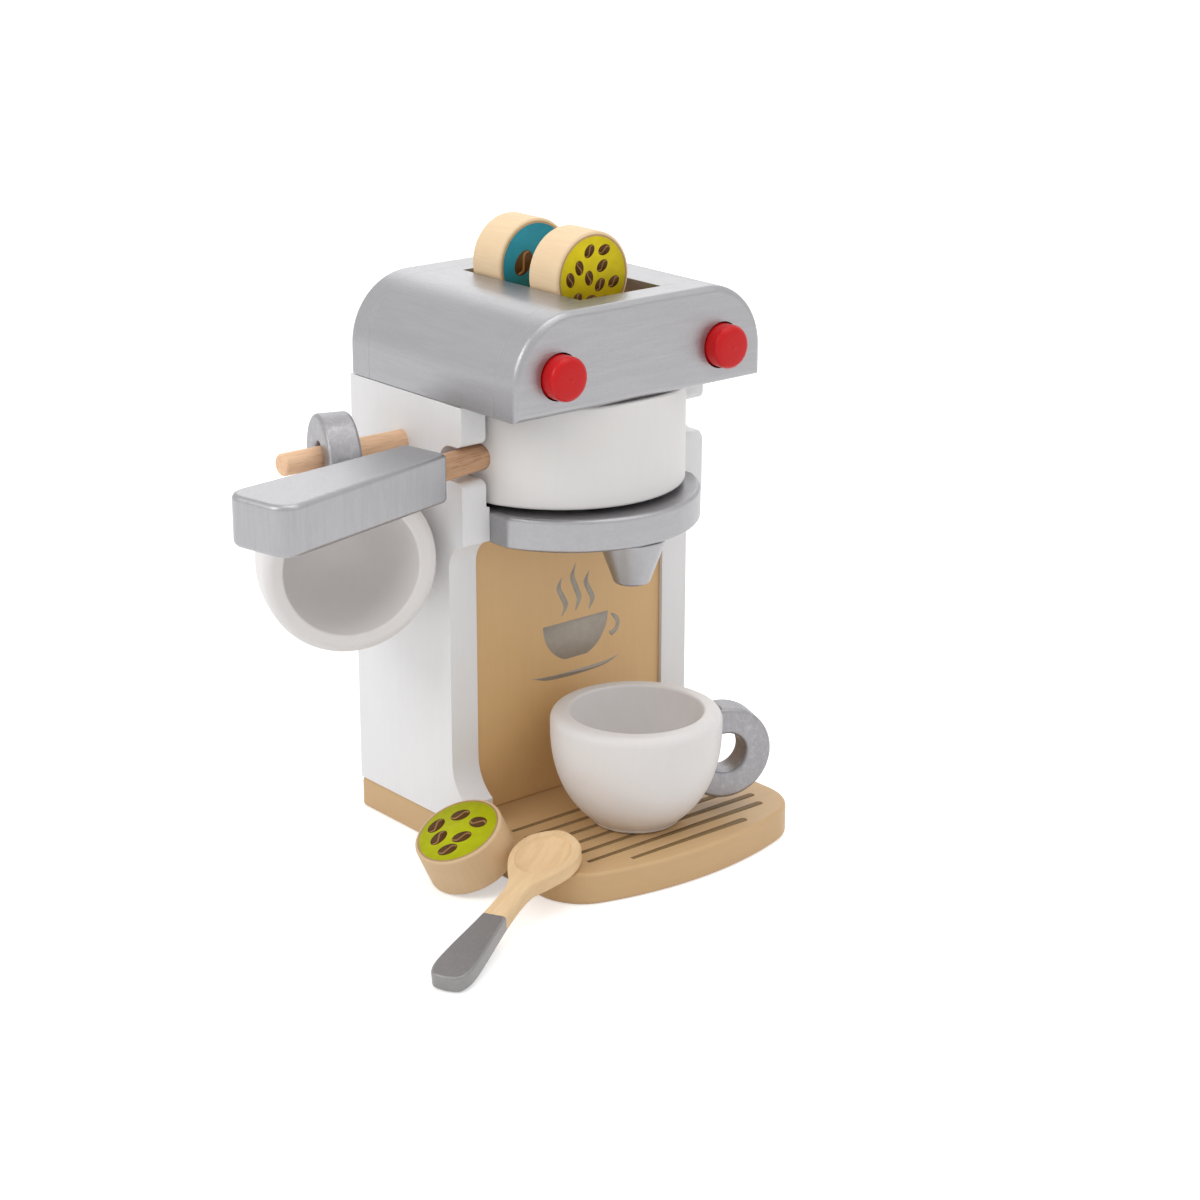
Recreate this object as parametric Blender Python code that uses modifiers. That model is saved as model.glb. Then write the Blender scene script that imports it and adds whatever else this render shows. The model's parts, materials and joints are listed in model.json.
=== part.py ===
"""Wooden toy coffee maker with a swinging brew handle, two push buttons, pods, two cups and a spoon.

Units are metres. The origin is the middle of the base board's underside, -Y is the front and +Z is up.
Places along Y are worked out as distances forward of the back plane, which the base and housing share.
"""

import math

import bmesh
import bpy
from mathutils import Matrix, Vector

# Clearances and finishing
SEAM = 0.0003
OVERRUN = 0.004
EDGE_ROUNDING = 0.001
FINE_EDGE = 0.0005
EDGE_SEGMENTS = 2
BEVEL_ANGLE = math.radians(40)
WELD_DISTANCE = 0.00001
ARC_TOLERANCE = 0.00006
FLAT_ANGLE = math.radians(0.5)
DRUM_SIDES = 64
ROUND_SIDES = 48
RING_SIDES = 40
SMALL_SIDES = 24
HALF = 0.5

# Base board
BASE_HALF_WIDTH = 0.0565
BASE_THICKNESS = 0.012
BASE_CORNER = 0.020
BASE_FRONT_BULGE = 0.0057
BASE_ROUNDING = 0.0015
TRAY_REACH = 0.0365
BASE_TOP = BASE_THICKNESS

# Side panels, which carry the brew plate between them and the housing on top
PANEL_THICKNESS = 0.012
PANEL_HEIGHT = 0.158
PANEL_INNER = BASE_HALF_WIDTH - PANEL_THICKNESS
PANEL_TOP = BASE_TOP + PANEL_HEIGHT

# Brew head: drum, axle, dowel and handle
DRUM_OVER_GAP = 0.0007
DRUM_RADIUS = PANEL_INNER + DRUM_OVER_GAP
DRUM_HEIGHT = 0.0371
DRUM_TOP = PANEL_TOP - SEAM
DRUM_BOTTOM = DRUM_TOP - DRUM_HEIGHT
DRUM_ROUNDING = 0.0012
DRUM_POCKET_CLEARANCE = 0.0028
BACK_PANEL_THICKNESS = 0.0055
DRUM_BACK_CLEARANCE = 0.0015
HEAD_AXIS = BACK_PANEL_THICKNESS + DRUM_BACK_CLEARANCE + DRUM_RADIUS
AXLE_RADIUS = 0.005
AXLE_SEAT = 0.007
AXLE_CLEARANCE = 0.0003
HANDLE_REST = math.radians(190.7)
DOWEL_RADIUS = 0.00475
DOWEL_ABOVE_DRUM_BOTTOM = 0.0168
DOWEL_HEIGHT = DRUM_BOTTOM + DOWEL_ABOVE_DRUM_BOTTOM
DOWEL_INNER_END = 0.024
DOWEL_IN_HANDLE = 0.025
HANDLE_GAP = 0.0155
HANDLE_LENGTH = 0.0822
HANDLE_ROOT = BASE_HALF_WIDTH + HANDLE_GAP
HANDLE_TIP = HANDLE_ROOT + HANDLE_LENGTH
HANDLE_ROOT_HALF_WIDTH = 0.010
HANDLE_TIP_HALF_WIDTH = 0.0141
HANDLE_THICKNESS = 0.0178
HANDLE_TIP_CORNER = 0.0075
HANDLE_ROOT_CORNER = 0.002
HANDLE_ROUNDING = 0.0022

# Housing, whose front stands almost flush with the drum
HOUSING_SET_BACK = 0.0004
HOUSING_DEPTH = HEAD_AXIS + DRUM_RADIUS - HOUSING_SET_BACK
HOUSING_HEIGHT = 0.036
HOUSING_BOTTOM = PANEL_TOP + SEAM
HOUSING_TOP = PANEL_TOP + HOUSING_HEIGHT
HOUSING_CORNER = 0.025
HOUSING_END_THICKNESS = 0.012
HOUSING_ROUNDING = 0.0026
HOOD_WALL = 0.008
HOUSING_FLOOR_THICKNESS = 0.004

# The back plane lies half the base board's depth behind the origin
BASE_DEPTH = HOUSING_DEPTH + TRAY_REACH
BACK_Y = BASE_DEPTH * HALF

# Side panel outline
FRONT_PANEL_DEPTH = HEAD_AXIS + 0.0043
FRONT_PANEL_THICKNESS = 0.009
COLUMN_PROUD = 0.0015
COLUMN_DEPTH = FRONT_PANEL_DEPTH + COLUMN_PROUD
NOSE_REACH = 0.0083
NOSE_DEPTH = COLUMN_DEPTH + NOSE_REACH
TOE_HEIGHT = 0.0092
TOE_ARC_HEIGHT = 0.014
TOE_TOP = BASE_TOP + TOE_HEIGHT
TOE_ARC_TOP = TOE_TOP + TOE_ARC_HEIGHT
NOTCH_UNDER_DOWEL = 0.0067
NOTCH_OVER_DOWEL = 0.0059
NOTCH_BOTTOM = DOWEL_HEIGHT - NOTCH_UNDER_DOWEL
NOTCH_TOP = DOWEL_HEIGHT + NOTCH_OVER_DOWEL
NOTCH_BEHIND_AXIS = 0.0013
NOTCH_BACK = HEAD_AXIS + NOTCH_BEHIND_AXIS
NOTCH_CORNER = 0.003
NOSE_HEIGHT = 0.0229
NOSE_ARC_HEIGHT = 0.0101
NOSE_ARC_TOP = NOTCH_BOTTOM - NOSE_HEIGHT
NOSE_ARC_BOTTOM = NOSE_ARC_TOP - NOSE_ARC_HEIGHT

# Brew plate and spout
PLATE_UNDER_DRUM = 0.0018
PLATE_THICKNESS = 0.0121
PLATE_TOP = DRUM_BOTTOM - PLATE_UNDER_DRUM
PLATE_BOTTOM = PLATE_TOP - PLATE_THICKNESS
PLATE_ARC = DRUM_RADIUS + 0.0027
PLATE_ARC_CENTRE = HEAD_AXIS + 0.0046
PLATE_ROUNDING = 0.0016
SPOUT_INSET = 0.0129
SPOUT_AXIS = PLATE_ARC_CENTRE + PLATE_ARC - SPOUT_INSET
SPOUT_TOP_RADIUS = 0.0122
SPOUT_TIP_RADIUS = 0.0067
SPOUT_HEIGHT = 0.0165
SPOUT_ROUNDING = 0.001
SPIGOT_RADIUS = 0.005
SPIGOT_LENGTH = 0.007

# Pod slot and pods
POD_RADIUS = 0.0165
POD_THICKNESS = 0.016
POD_ROUNDING = 0.001
POD_SIDE_SHIFT = -0.0012
SLOT_CLEARANCE = 0.002
SLOT_HALF_WIDTH = POD_RADIUS + SLOT_CLEARANCE
SLOT_LAND = 0.006
SLOT_BEHIND_POD = 0.0045
SLOT_BACK = HOUSING_END_THICKNESS + SEAM + SLOT_LAND
BLUE_POD_FACE = SLOT_BACK + SLOT_BEHIND_POD + POD_THICKNESS
POD_GAP_SHARE = 0.5464
POD_FREE_LENGTH = HOUSING_DEPTH - HOUSING_END_THICKNESS - BLUE_POD_FACE - POD_THICKNESS
YELLOW_POD_FACE = BLUE_POD_FACE + POD_GAP_SHARE * POD_FREE_LENGTH + POD_THICKNESS
TROUGH_WALL = 0.004
POD_SEAT_DEPTH = 0.0135
LEANING_POD_TILT = math.radians(26.0)
LEANING_POD_FORWARD = 0.0825

# Push buttons
BUTTON_INSET = 0.0192
BUTTON_SIDE = BASE_HALF_WIDTH - BUTTON_INSET
BUTTON_RISE = 0.0141
BUTTON_HEIGHT = PANEL_TOP + BUTTON_RISE
BUTTON_RADIUS = 0.0079
BUTTON_CLEARANCE = 0.0005
BUTTON_HOLE_RADIUS = BUTTON_RADIUS + BUTTON_CLEARANCE
BUTTON_PROTRUSION = 0.0065
BUTTON_ROUNDING = 0.0022
BUTTON_FLANGE = 0.0017
BUTTON_FLANGE_RADIUS = BUTTON_RADIUS + BUTTON_FLANGE
BUTTON_FLANGE_THICKNESS = 0.003
SPRING_LENGTH = 0.012
SPRING_RADIUS = 0.0052
SPRING_WIRE_RADIUS = 0.0005
SPRING_TURNS = 5
SPRING_POINTS_A_TURN = 9
SPRING_BLOCK_DEPTH = 0.010
SPRING_BLOCK_INNER = BUTTON_SIDE - 0.0083
SPRING_BLOCK_OUTER = BUTTON_SIDE + 0.0067
SPRING_BLOCK_TOP = BUTTON_HEIGHT + 0.0059

# Side peg
PEG_RADIUS = 0.004
PEG_BACK = 0.031
PEG_DROP = 0.0187
PEG_HEIGHT = PANEL_TOP - PEG_DROP
PEG_REACH = 0.0515
PEG_TIP = BASE_HALF_WIDTH + PEG_REACH
PEG_SEAT = 0.008
PEG_ROUNDING = 0.001

# Cups
CUP_RADIUS = 0.0314
CUP_INNER_RADIUS = 0.0244
CUP_HEIGHT = 0.0427
CUP_WIDEST_HEIGHT = 0.0373
CUP_CURVE_HEIGHT = 0.0413
CUP_SIDE_FULLNESS = 2.3
CUP_FLOOR = 0.007
CUP_BOWL_FULLNESS = 0.72
CUP_BOWL_STEPS = 8
CUP_WALL_STEPS = 6
CUP_RIM_ROUNDING = 0.0036
CUP_MOUTH_ROUNDING = 0.001
CUP_FOOT_ROUNDING = 0.0015
RING_RADIUS = 0.0175
RING_HOLE_RADIUS = 0.0077
RING_THICKNESS = 0.012
RING_ROUNDING = 0.0015
RING_OFFSET = 0.0334
RING_HEIGHT = 0.0228
TRAY_CUP_SIDE = -0.0021
TRAY_CUP_FORWARD = SPOUT_AXIS + 0.0054
TRAY_CUP_TURN = math.radians(-21)
HANGING_CUP_RING_GAP = 0.029
HANGING_CUP_RING_SIDE = -BASE_HALF_WIDTH - HANGING_CUP_RING_GAP
HANGING_CUP_TURN = math.radians(20)

# Spoon: a table of (distance from the tip, half width), both as shares of its length
SPOON_LENGTH = 0.0955
SPOON_THICKNESS = 0.006
SPOON_ROUNDING = 0.001
SPOON_OUTLINE_SHARES = (
    (0.008, 0.045),
    (0.035, 0.066),
    (0.09, 0.074),
    (0.20, 0.067),
    (0.38, 0.049),
    (0.53, 0.041),
    (0.625, 0.050),
    (0.70, 0.087),
    (0.785, 0.121),
    (0.87, 0.125),
    (0.945, 0.094),
)
SPOON_CURVE_STEPS = 4
SPOON_BOWL_PLACE_SHARE = 0.825
SPOON_DISH_LENGTH_SHARE = 0.132
SPOON_DISH_WIDTH_SHARE = 0.099
SPOON_DISH_DEPTH = 0.0032
SPOON_END_INSET = 0.0148
SPOON_END_SET_BACK = 0.0298
SPOON_OVER_TRAY = 0.0177
SPOON_HEADING = math.radians(26.3)
SPOON_TILT = math.asin(BASE_TOP / (SPOON_LENGTH - SPOON_OVER_TRAY))
SPOON_REACH = SPOON_LENGTH * math.cos(SPOON_TILT)
SPOON_TIP_SIDE = SPOON_END_INSET - BASE_HALF_WIDTH - SPOON_REACH * math.cos(SPOON_HEADING)
SPOON_TIP_FORWARD = BASE_DEPTH - SPOON_END_SET_BACK + SPOON_REACH * math.sin(SPOON_HEADING)
SPOON_LIFT = 0.00015

# Colours, as linear RGB
WHITE = (0.80, 0.79, 0.78)
SILVER = (0.48, 0.48, 0.50)
TAN = (0.58, 0.38, 0.19)
GOLD = (0.55, 0.37, 0.17)
BEECH = (0.76, 0.48, 0.27)
BIRCH = (0.84, 0.62, 0.38)
RED = (0.69, 0.02, 0.025)
STEEL = (0.55, 0.55, 0.56)
SATIN = 0.45
GLOSSY = 0.25
BARE = 0.6


def forward(distance):
    """Return the Y of a point that lies this far ahead of the back plane."""
    return BACK_Y - distance


def clear_scene():
    """Remove every object of the open scene."""
    for obj in list(bpy.data.objects):
        bpy.data.objects.remove(obj, do_unlink=True)


def new_collection(name, rendered=True):
    """Add a collection to the scene."""
    collection = bpy.data.collections.new(name)
    collection.hide_render = not rendered
    bpy.context.scene.collection.children.link(collection)
    return collection


def painted(obj, name, colour, roughness, metallic=0.0):
    """Give the object its own Principled material."""
    material = bpy.data.materials.new(name)
    material.use_nodes = True
    shader = material.node_tree.nodes["Principled BSDF"]
    shader.inputs["Base Color"].default_value = (*colour, 1.0)
    shader.inputs["Roughness"].default_value = roughness
    shader.inputs["Metallic"].default_value = metallic
    material.diffuse_color = (*colour, 1.0)
    obj.data.materials.clear()
    obj.data.materials.append(material)
    return obj


def arc(centre, radius, start, end):
    """Return points along an arc, with both ends, close enough to stay within the arc tolerance."""
    step = 2 * math.acos(1 - ARC_TOLERANCE / radius)
    steps = max(2, math.ceil(abs(end - start) / step))
    angles = [start + (end - start) * i / steps for i in range(steps + 1)]
    return [(centre[0] + radius * math.cos(a), centre[1] + radius * math.sin(a)) for a in angles]


def link_mesh(name, mesh, collection):
    """Make an object of a mesh and put it in the collection."""
    obj = bpy.data.objects.new(name, mesh)
    collection.objects.link(obj)
    return obj


def mesh_of_curve(curve_object, collection):
    """Turn a curve object into a mesh object with welded caps."""
    bpy.context.view_layer.update()
    graph = bpy.context.evaluated_depsgraph_get()
    mesh = bpy.data.meshes.new_from_object(curve_object.evaluated_get(graph))
    welded = bmesh.new()
    welded.from_mesh(mesh)
    bmesh.ops.remove_doubles(welded, verts=welded.verts, dist=WELD_DISTANCE)
    bmesh.ops.dissolve_limit(welded, angle_limit=FLAT_ANGLE, verts=welded.verts, edges=welded.edges)
    bmesh.ops.recalc_face_normals(welded, faces=welded.faces)
    welded.to_mesh(mesh)
    welded.free()
    name = curve_object.name
    matrix = curve_object.matrix_world.copy()
    bpy.data.objects.remove(curve_object, do_unlink=True)
    obj = link_mesh(name, mesh, collection)
    obj.matrix_world = matrix
    return obj


def slab(name, outline, thickness, collection, smooth=False):
    """Extrude a closed outline in its local XY plane to both sides of that plane."""
    curve = bpy.data.curves.new(name, "CURVE")
    curve.dimensions = "2D"
    curve.fill_mode = "BOTH"
    curve.extrude = thickness * HALF
    if smooth:
        spline = curve.splines.new("BEZIER")
        spline.bezier_points.add(len(outline) - 1)
        for point, place in zip(spline.bezier_points, outline):
            point.co = (*place, 0.0)
            point.handle_left_type = "AUTO"
            point.handle_right_type = "AUTO"
        curve.resolution_u = SPOON_CURVE_STEPS
    else:
        spline = curve.splines.new("POLY")
        spline.points.add(len(outline) - 1)
        for point, place in zip(spline.points, outline):
            point.co = (*place, 0.0, 1.0)
    spline.use_cyclic_u = True
    curve_object = bpy.data.objects.new(name, curve)
    bpy.context.scene.collection.objects.link(curve_object)
    return mesh_of_curve(curve_object, collection)


def box(name, low, high, collection):
    """Make a box from its lowest and highest corners, as a primitive cube."""
    mesh = bpy.data.meshes.new(name)
    cube = bmesh.new()
    bmesh.ops.create_cube(cube, size=1.0)
    size = Vector(high) - Vector(low)
    bmesh.ops.scale(cube, vec=size, verts=cube.verts)
    cube.to_mesh(mesh)
    cube.free()
    obj = link_mesh(name, mesh, collection)
    obj.location = (Vector(low) + Vector(high)) * HALF
    return obj


def cylinder(name, radius, length, collection, sides=SMALL_SIDES):
    """Make a cylinder that stands on its local XY plane and runs along local +Z."""
    mesh = bpy.data.meshes.new(name)
    rod = bmesh.new()
    bmesh.ops.create_cone(
        rod, cap_ends=True, cap_tris=False, segments=sides, radius1=radius, radius2=radius, depth=length
    )
    bmesh.ops.translate(rod, vec=(0.0, 0.0, length * HALF), verts=rod.verts)
    rod.to_mesh(mesh)
    rod.free()
    return link_mesh(name, mesh, collection)


def turned(name, profile, collection, sides=ROUND_SIDES, closed=False):
    """Spin a profile of (radius, height) points, listed from the top down its outer side, about local Z."""
    mesh = bpy.data.meshes.new(name)
    line = bmesh.new()
    points = [line.verts.new((radius, 0.0, height)) for radius, height in profile]
    for first, second in zip(points, points[1:]):
        line.edges.new((first, second))
    if closed:
        line.edges.new((points[-1], points[0]))
    line.to_mesh(mesh)
    line.free()
    obj = link_mesh(name, mesh, collection)
    screw = obj.modifiers.new("Screw", "SCREW")
    screw.axis = "Z"
    screw.steps = sides
    screw.render_steps = sides
    screw.use_merge_vertices = True
    screw.merge_threshold = WELD_DISTANCE
    screw.use_smooth_shade = False
    return obj


def rounded(obj, width, segments=EDGE_SEGMENTS):
    """Round every edge that is sharper than the bevel angle."""
    bevel = obj.modifiers.new("Rounded edges", "BEVEL")
    bevel.width = width
    bevel.segments = segments
    bevel.limit_method = "ANGLE"
    bevel.angle_limit = BEVEL_ANGLE
    bevel.use_clamp_overlap = True
    return obj


def rounded_face(obj, side, width, other_width):
    """Round the rim of the slab's face on this side of local Z more than its other edges."""
    weights = obj.data.attributes.new("bevel_weight_edge", "FLOAT", "EDGE")
    for edge in obj.data.edges:
        first, second = (obj.data.vertices[i].co.z * side for i in edge.vertices)
        if first > 0 and second > 0:
            weights.data[edge.index].value = 1.0
        elif first < 0 and second < 0:
            weights.data[edge.index].value = other_width / width
    bevel = obj.modifiers.new("Rounded rims", "BEVEL")
    bevel.width = width
    bevel.segments = EDGE_SEGMENTS + 1
    bevel.limit_method = "WEIGHT"
    return obj


def cut(obj, cutter):
    """Subtract the cutter from the object and hide the cutter."""
    cutter.hide_render = True
    cutter.display_type = "WIRE"
    boolean = obj.modifiers.new("Cut " + cutter.name, "BOOLEAN")
    boolean.operation = "DIFFERENCE"
    boolean.solver = "EXACT"
    boolean.object = cutter
    return obj


def along_x(obj, sign=1.0):
    """Turn an object so that its local +Z points along X."""
    obj.rotation_euler = (0.0, math.copysign(math.pi * HALF, sign), 0.0)
    return obj


def along_y(obj, sign=1.0):
    """Turn an object so that its local +Z points along Y."""
    obj.rotation_euler = (math.copysign(math.pi * HALF, -sign), 0.0, 0.0)
    return obj


def empty(name, matrix, collection):
    """Add an empty that carries what is parented to it."""
    obj = bpy.data.objects.new(name, None)
    obj.matrix_world = matrix
    collection.objects.link(obj)
    return obj


def base_outline():
    """Return the tray outline: straight back and sides, a shallow front arc and round front corners."""
    corner_x = BASE_HALF_WIDTH - BASE_CORNER
    inner = corner_x**2 / (2 * BASE_FRONT_BULGE) + BASE_FRONT_BULGE * HALF
    front_radius = inner + BASE_CORNER
    front_centre = (0.0, forward(BASE_DEPTH) + front_radius)
    drop = math.sqrt(inner**2 - corner_x**2)
    corner = (corner_x, front_centre[1] - drop)
    turn = math.atan2(-drop, corner_x)
    right = arc(corner, BASE_CORNER, 0.0, turn)
    front = arc(front_centre, front_radius, turn, -math.pi * HALF)
    half = [(BASE_HALF_WIDTH, BACK_Y)] + right + front[1:]
    return half + [(-x, y) for x, y in reversed(half[:-1])]


def make_base(parts):
    """Build the tray board that everything stands on."""
    board = slab("base_board", base_outline(), BASE_THICKNESS, parts)
    board.location.z = BASE_THICKNESS * HALF
    rounded(board, BASE_ROUNDING)
    painted(board, "tan satin paint", TAN, SATIN)


def hollow_arc(column, tip, height, rises):
    """Return the concave arc between the column's front and a tip that stands further forward.

    The arc leaves the column front upright. It rises to the tip or falls to it.
    """
    reach = tip - column
    radius = (reach**2 + height**2) / (2 * reach)
    sweep = math.asin(height / radius)
    start = 0.0
    end = sweep if rises else -sweep
    return [(forward(column) - radius + x, z) for x, z in arc((0.0, 0.0), radius, start, end)]


def panel_outline():
    """Return the side panel's outline in (y, z), with its toe, hollow column, nose and open notch."""
    bottom = BASE_TOP + SEAM
    toe = [(y, TOE_ARC_TOP + z) for y, z in hollow_arc(COLUMN_DEPTH, NOSE_DEPTH, TOE_ARC_TOP - TOE_TOP, False)]
    nose_height = NOSE_ARC_TOP - NOSE_ARC_BOTTOM
    nose = [(y, NOSE_ARC_BOTTOM + z) for y, z in hollow_arc(COLUMN_DEPTH, NOSE_DEPTH, nose_height, True)]
    front = forward(NOSE_DEPTH)
    turn = math.pi * HALF
    soft = NOTCH_CORNER
    nose_top = arc((front + soft, NOTCH_BOTTOM - soft), soft, math.pi, turn)
    end_radius = (NOTCH_TOP - NOTCH_BOTTOM) * HALF
    end_centre = (forward(NOTCH_BACK) - end_radius, NOTCH_BOTTOM + end_radius)
    notch = arc(end_centre, end_radius, -turn, turn)
    block = arc((front + soft, NOTCH_TOP + soft), soft, -turn, -math.pi)
    foot = [(BACK_Y, bottom), (BACK_Y, PANEL_TOP), (front, PANEL_TOP)]
    return foot + block[::-1] + notch[::-1] + nose_top[::-1] + nose[::-1] + toe + [(front, bottom)]


def make_side_panel(parts, cutters, side, name):
    """Build one side panel with its round pocket for the drum, and the left one's peg bore."""
    panel = slab(name, panel_outline(), PANEL_THICKNESS, parts)
    panel.rotation_euler = (math.pi * HALF, 0.0, math.pi * HALF)
    panel.location.x = side * (BASE_HALF_WIDTH - PANEL_THICKNESS * HALF)
    rounded(panel, EDGE_ROUNDING)
    pocket = cylinder(
        name + "_drum_pocket", DRUM_RADIUS + DRUM_POCKET_CLEARANCE, PANEL_TOP - DRUM_BOTTOM + 2 * OVERRUN, cutters, DRUM_SIDES
    )
    pocket.location = (0.0, forward(HEAD_AXIS), DRUM_BOTTOM - AXLE_CLEARANCE)
    cut(panel, pocket)
    if side < 0:
        bore = along_x(cylinder("peg_bore", PEG_RADIUS + SEAM, PEG_SEAT + SEAM + OVERRUN, cutters), -1)
        bore.location = (-BASE_HALF_WIDTH + PEG_SEAT + SEAM, forward(PEG_BACK), PEG_HEIGHT)
        cut(panel, bore)
    painted(panel, name + " white paint", WHITE, SATIN)


def make_panels(parts, cutters):
    """Build the two side panels, the front panel and the thin back panel between them."""
    make_side_panel(parts, cutters, -1.0, "left_side_panel")
    make_side_panel(parts, cutters, 1.0, "right_side_panel")
    half = PANEL_INNER - SEAM
    foot = BASE_TOP + SEAM
    front_low = (-half, forward(FRONT_PANEL_DEPTH), foot)
    front_high = (half, forward(FRONT_PANEL_DEPTH - FRONT_PANEL_THICKNESS), PLATE_BOTTOM - SEAM)
    front = rounded(box("front_panel", front_low, front_high, parts), FINE_EDGE)
    painted(front, "gold satin paint", GOLD, SATIN)
    back_low = (-half, forward(BACK_PANEL_THICKNESS), foot)
    back = rounded(box("back_panel", back_low, (half, BACK_Y, PANEL_TOP), parts), FINE_EDGE)
    painted(back, "back panel white paint", WHITE, SATIN)


def make_brew_plate(parts, cutters):
    """Build the round-fronted plate under the drum, with bores for the axle and the spout's spigot."""
    half = PANEL_INNER - SEAM
    meet = math.asin(half / PLATE_ARC)
    centre = (0.0, forward(PLATE_ARC_CENTRE))
    down = -math.pi * HALF
    front = arc(centre, PLATE_ARC, down - meet, down + meet)
    back = forward(BACK_PANEL_THICKNESS + SEAM)
    plate = slab("brew_plate", front + [(half, back), (-half, back)], PLATE_THICKNESS, parts)
    plate.location.z = PLATE_BOTTOM + PLATE_THICKNESS * HALF
    rounded(plate, PLATE_ROUNDING)
    axle_bore = cylinder("plate_axle_bore", AXLE_RADIUS + SEAM, AXLE_SEAT + SEAM + OVERRUN, cutters)
    axle_bore.location = (0.0, forward(HEAD_AXIS), PLATE_TOP - AXLE_SEAT - SEAM)
    spigot_bore = cylinder("plate_spigot_bore", SPIGOT_RADIUS + SEAM, SPIGOT_LENGTH + OVERRUN, cutters)
    spigot_bore.location = (0.0, forward(SPOUT_AXIS), PLATE_BOTTOM - OVERRUN)
    cut(cut(plate, axle_bore), spigot_bore)
    painted(plate, "plate silver paint", SILVER, SATIN, 0.6)


def make_spout(parts):
    """Build the tapered spout, whose spigot sits in the plate."""
    soft = SPOUT_ROUNDING
    profile = [
        (0.0, SPIGOT_LENGTH - SEAM),
        (SPIGOT_RADIUS, SPIGOT_LENGTH - SEAM),
        (SPIGOT_RADIUS, 0.0),
        (SPOUT_TOP_RADIUS, 0.0),
        (SPOUT_TOP_RADIUS, -soft),
        (SPOUT_TIP_RADIUS, soft - SPOUT_HEIGHT),
        (SPOUT_TIP_RADIUS - soft, -SPOUT_HEIGHT),
        (0.0, -SPOUT_HEIGHT),
    ]
    spout = turned("spout", profile, parts, SMALL_SIDES)
    spout.location = (0.0, forward(SPOUT_AXIS), PLATE_BOTTOM - SEAM)
    painted(spout, "spout silver paint", SILVER, SATIN, 0.6)


def make_brew_head(parts, cutters):
    """Build the drum, its axle, the radial dowel and the paddle handle about the head's upright axis."""
    rest = Matrix.Translation((0.0, forward(HEAD_AXIS), 0.0)) @ Matrix.Rotation(HANDLE_REST, 4, "Z")
    axis = empty("brew_head_axis", rest, parts)

    drum = cylinder("brew_drum", DRUM_RADIUS, DRUM_TOP - DRUM_BOTTOM, parts, DRUM_SIDES)
    drum.parent = axis
    drum.location.z = DRUM_BOTTOM
    rounded(drum, DRUM_ROUNDING)
    drum_bore = cylinder("drum_axle_bore", AXLE_RADIUS + AXLE_CLEARANCE, DRUM_TOP - DRUM_BOTTOM + 2 * OVERRUN, cutters)
    drum_bore.parent = axis
    drum_bore.location.z = DRUM_BOTTOM - OVERRUN
    radial_bore = along_x(cylinder("drum_dowel_bore", DOWEL_RADIUS + SEAM, DRUM_RADIUS, cutters))
    radial_bore.parent = axis
    radial_bore.location = (DOWEL_INNER_END - SEAM, 0.0, DOWEL_HEIGHT)
    cut(cut(drum, drum_bore), radial_bore)
    painted(drum, "drum white paint", WHITE, SATIN)

    dowel_end = HANDLE_ROOT + DOWEL_IN_HANDLE
    dowel = along_x(cylinder("handle_dowel", DOWEL_RADIUS, dowel_end - DOWEL_INNER_END, parts))
    dowel.parent = axis
    dowel.location = (DOWEL_INNER_END, 0.0, DOWEL_HEIGHT)
    rounded(dowel, FINE_EDGE)
    painted(dowel, "dowel beech", BEECH, BARE)

    handle = slab("brew_handle", handle_outline(), HANDLE_THICKNESS, parts)
    handle.parent = axis
    handle.location.z = DOWEL_HEIGHT
    rounded(handle, HANDLE_ROUNDING, EDGE_SEGMENTS + 1)
    seat = DOWEL_IN_HANDLE + SEAM + OVERRUN
    handle_bore = along_x(cylinder("handle_bore", DOWEL_RADIUS + SEAM, seat, cutters))
    handle_bore.parent = axis
    handle_bore.location = (HANDLE_ROOT - OVERRUN, 0.0, DOWEL_HEIGHT)
    cut(handle, handle_bore)
    painted(handle, "handle silver paint", SILVER, SATIN, 0.6)

    axle_bottom = PLATE_TOP - AXLE_SEAT
    axle_top = HOUSING_BOTTOM + HOUSING_FLOOR_THICKNESS
    axle = cylinder("drum_axle", AXLE_RADIUS, axle_top - axle_bottom, parts)
    axle.location = (0.0, forward(HEAD_AXIS), axle_bottom)
    rounded(axle, FINE_EDGE)
    painted(axle, "axle beech", BEECH, BARE)


def handle_outline():
    """Return the paddle's outline: narrow at the root, wide at the tip, with round corners."""
    taper = math.atan2(HANDLE_TIP_HALF_WIDTH - HANDLE_ROOT_HALF_WIDTH, HANDLE_TIP - HANDLE_ROOT)
    square = math.pi * HALF

    def corner(x, y, radius, sign, start, end):
        """Return the arc in the corner at (x, y), which the taper opens or closes."""
        reach = radius * (1 - sign * math.sin(taper)) / math.cos(taper)
        return arc((x - sign * radius, y - reach), radius, start, end)

    tip = corner(HANDLE_TIP, HANDLE_TIP_HALF_WIDTH, HANDLE_TIP_CORNER, 1.0, 0.0, square + taper)
    root = corner(HANDLE_ROOT, HANDLE_ROOT_HALF_WIDTH, HANDLE_ROOT_CORNER, -1.0, square + taper, math.pi)
    half = tip + root
    return half + [(x, -y) for x, y in reversed(half)]


def arch(half_width, corner, bottom, top, left_to_right=True):
    """Return an arch outline in (x, z), from one foot over the top to the other."""
    turn = math.pi * HALF
    left = arc((-half_width + corner, top - corner), corner, 2 * turn, turn)
    points = [(-half_width, bottom)] + left + [(-x, z) for x, z in reversed([(-half_width, bottom)] + left)]
    return points if left_to_right else points[::-1]


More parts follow.
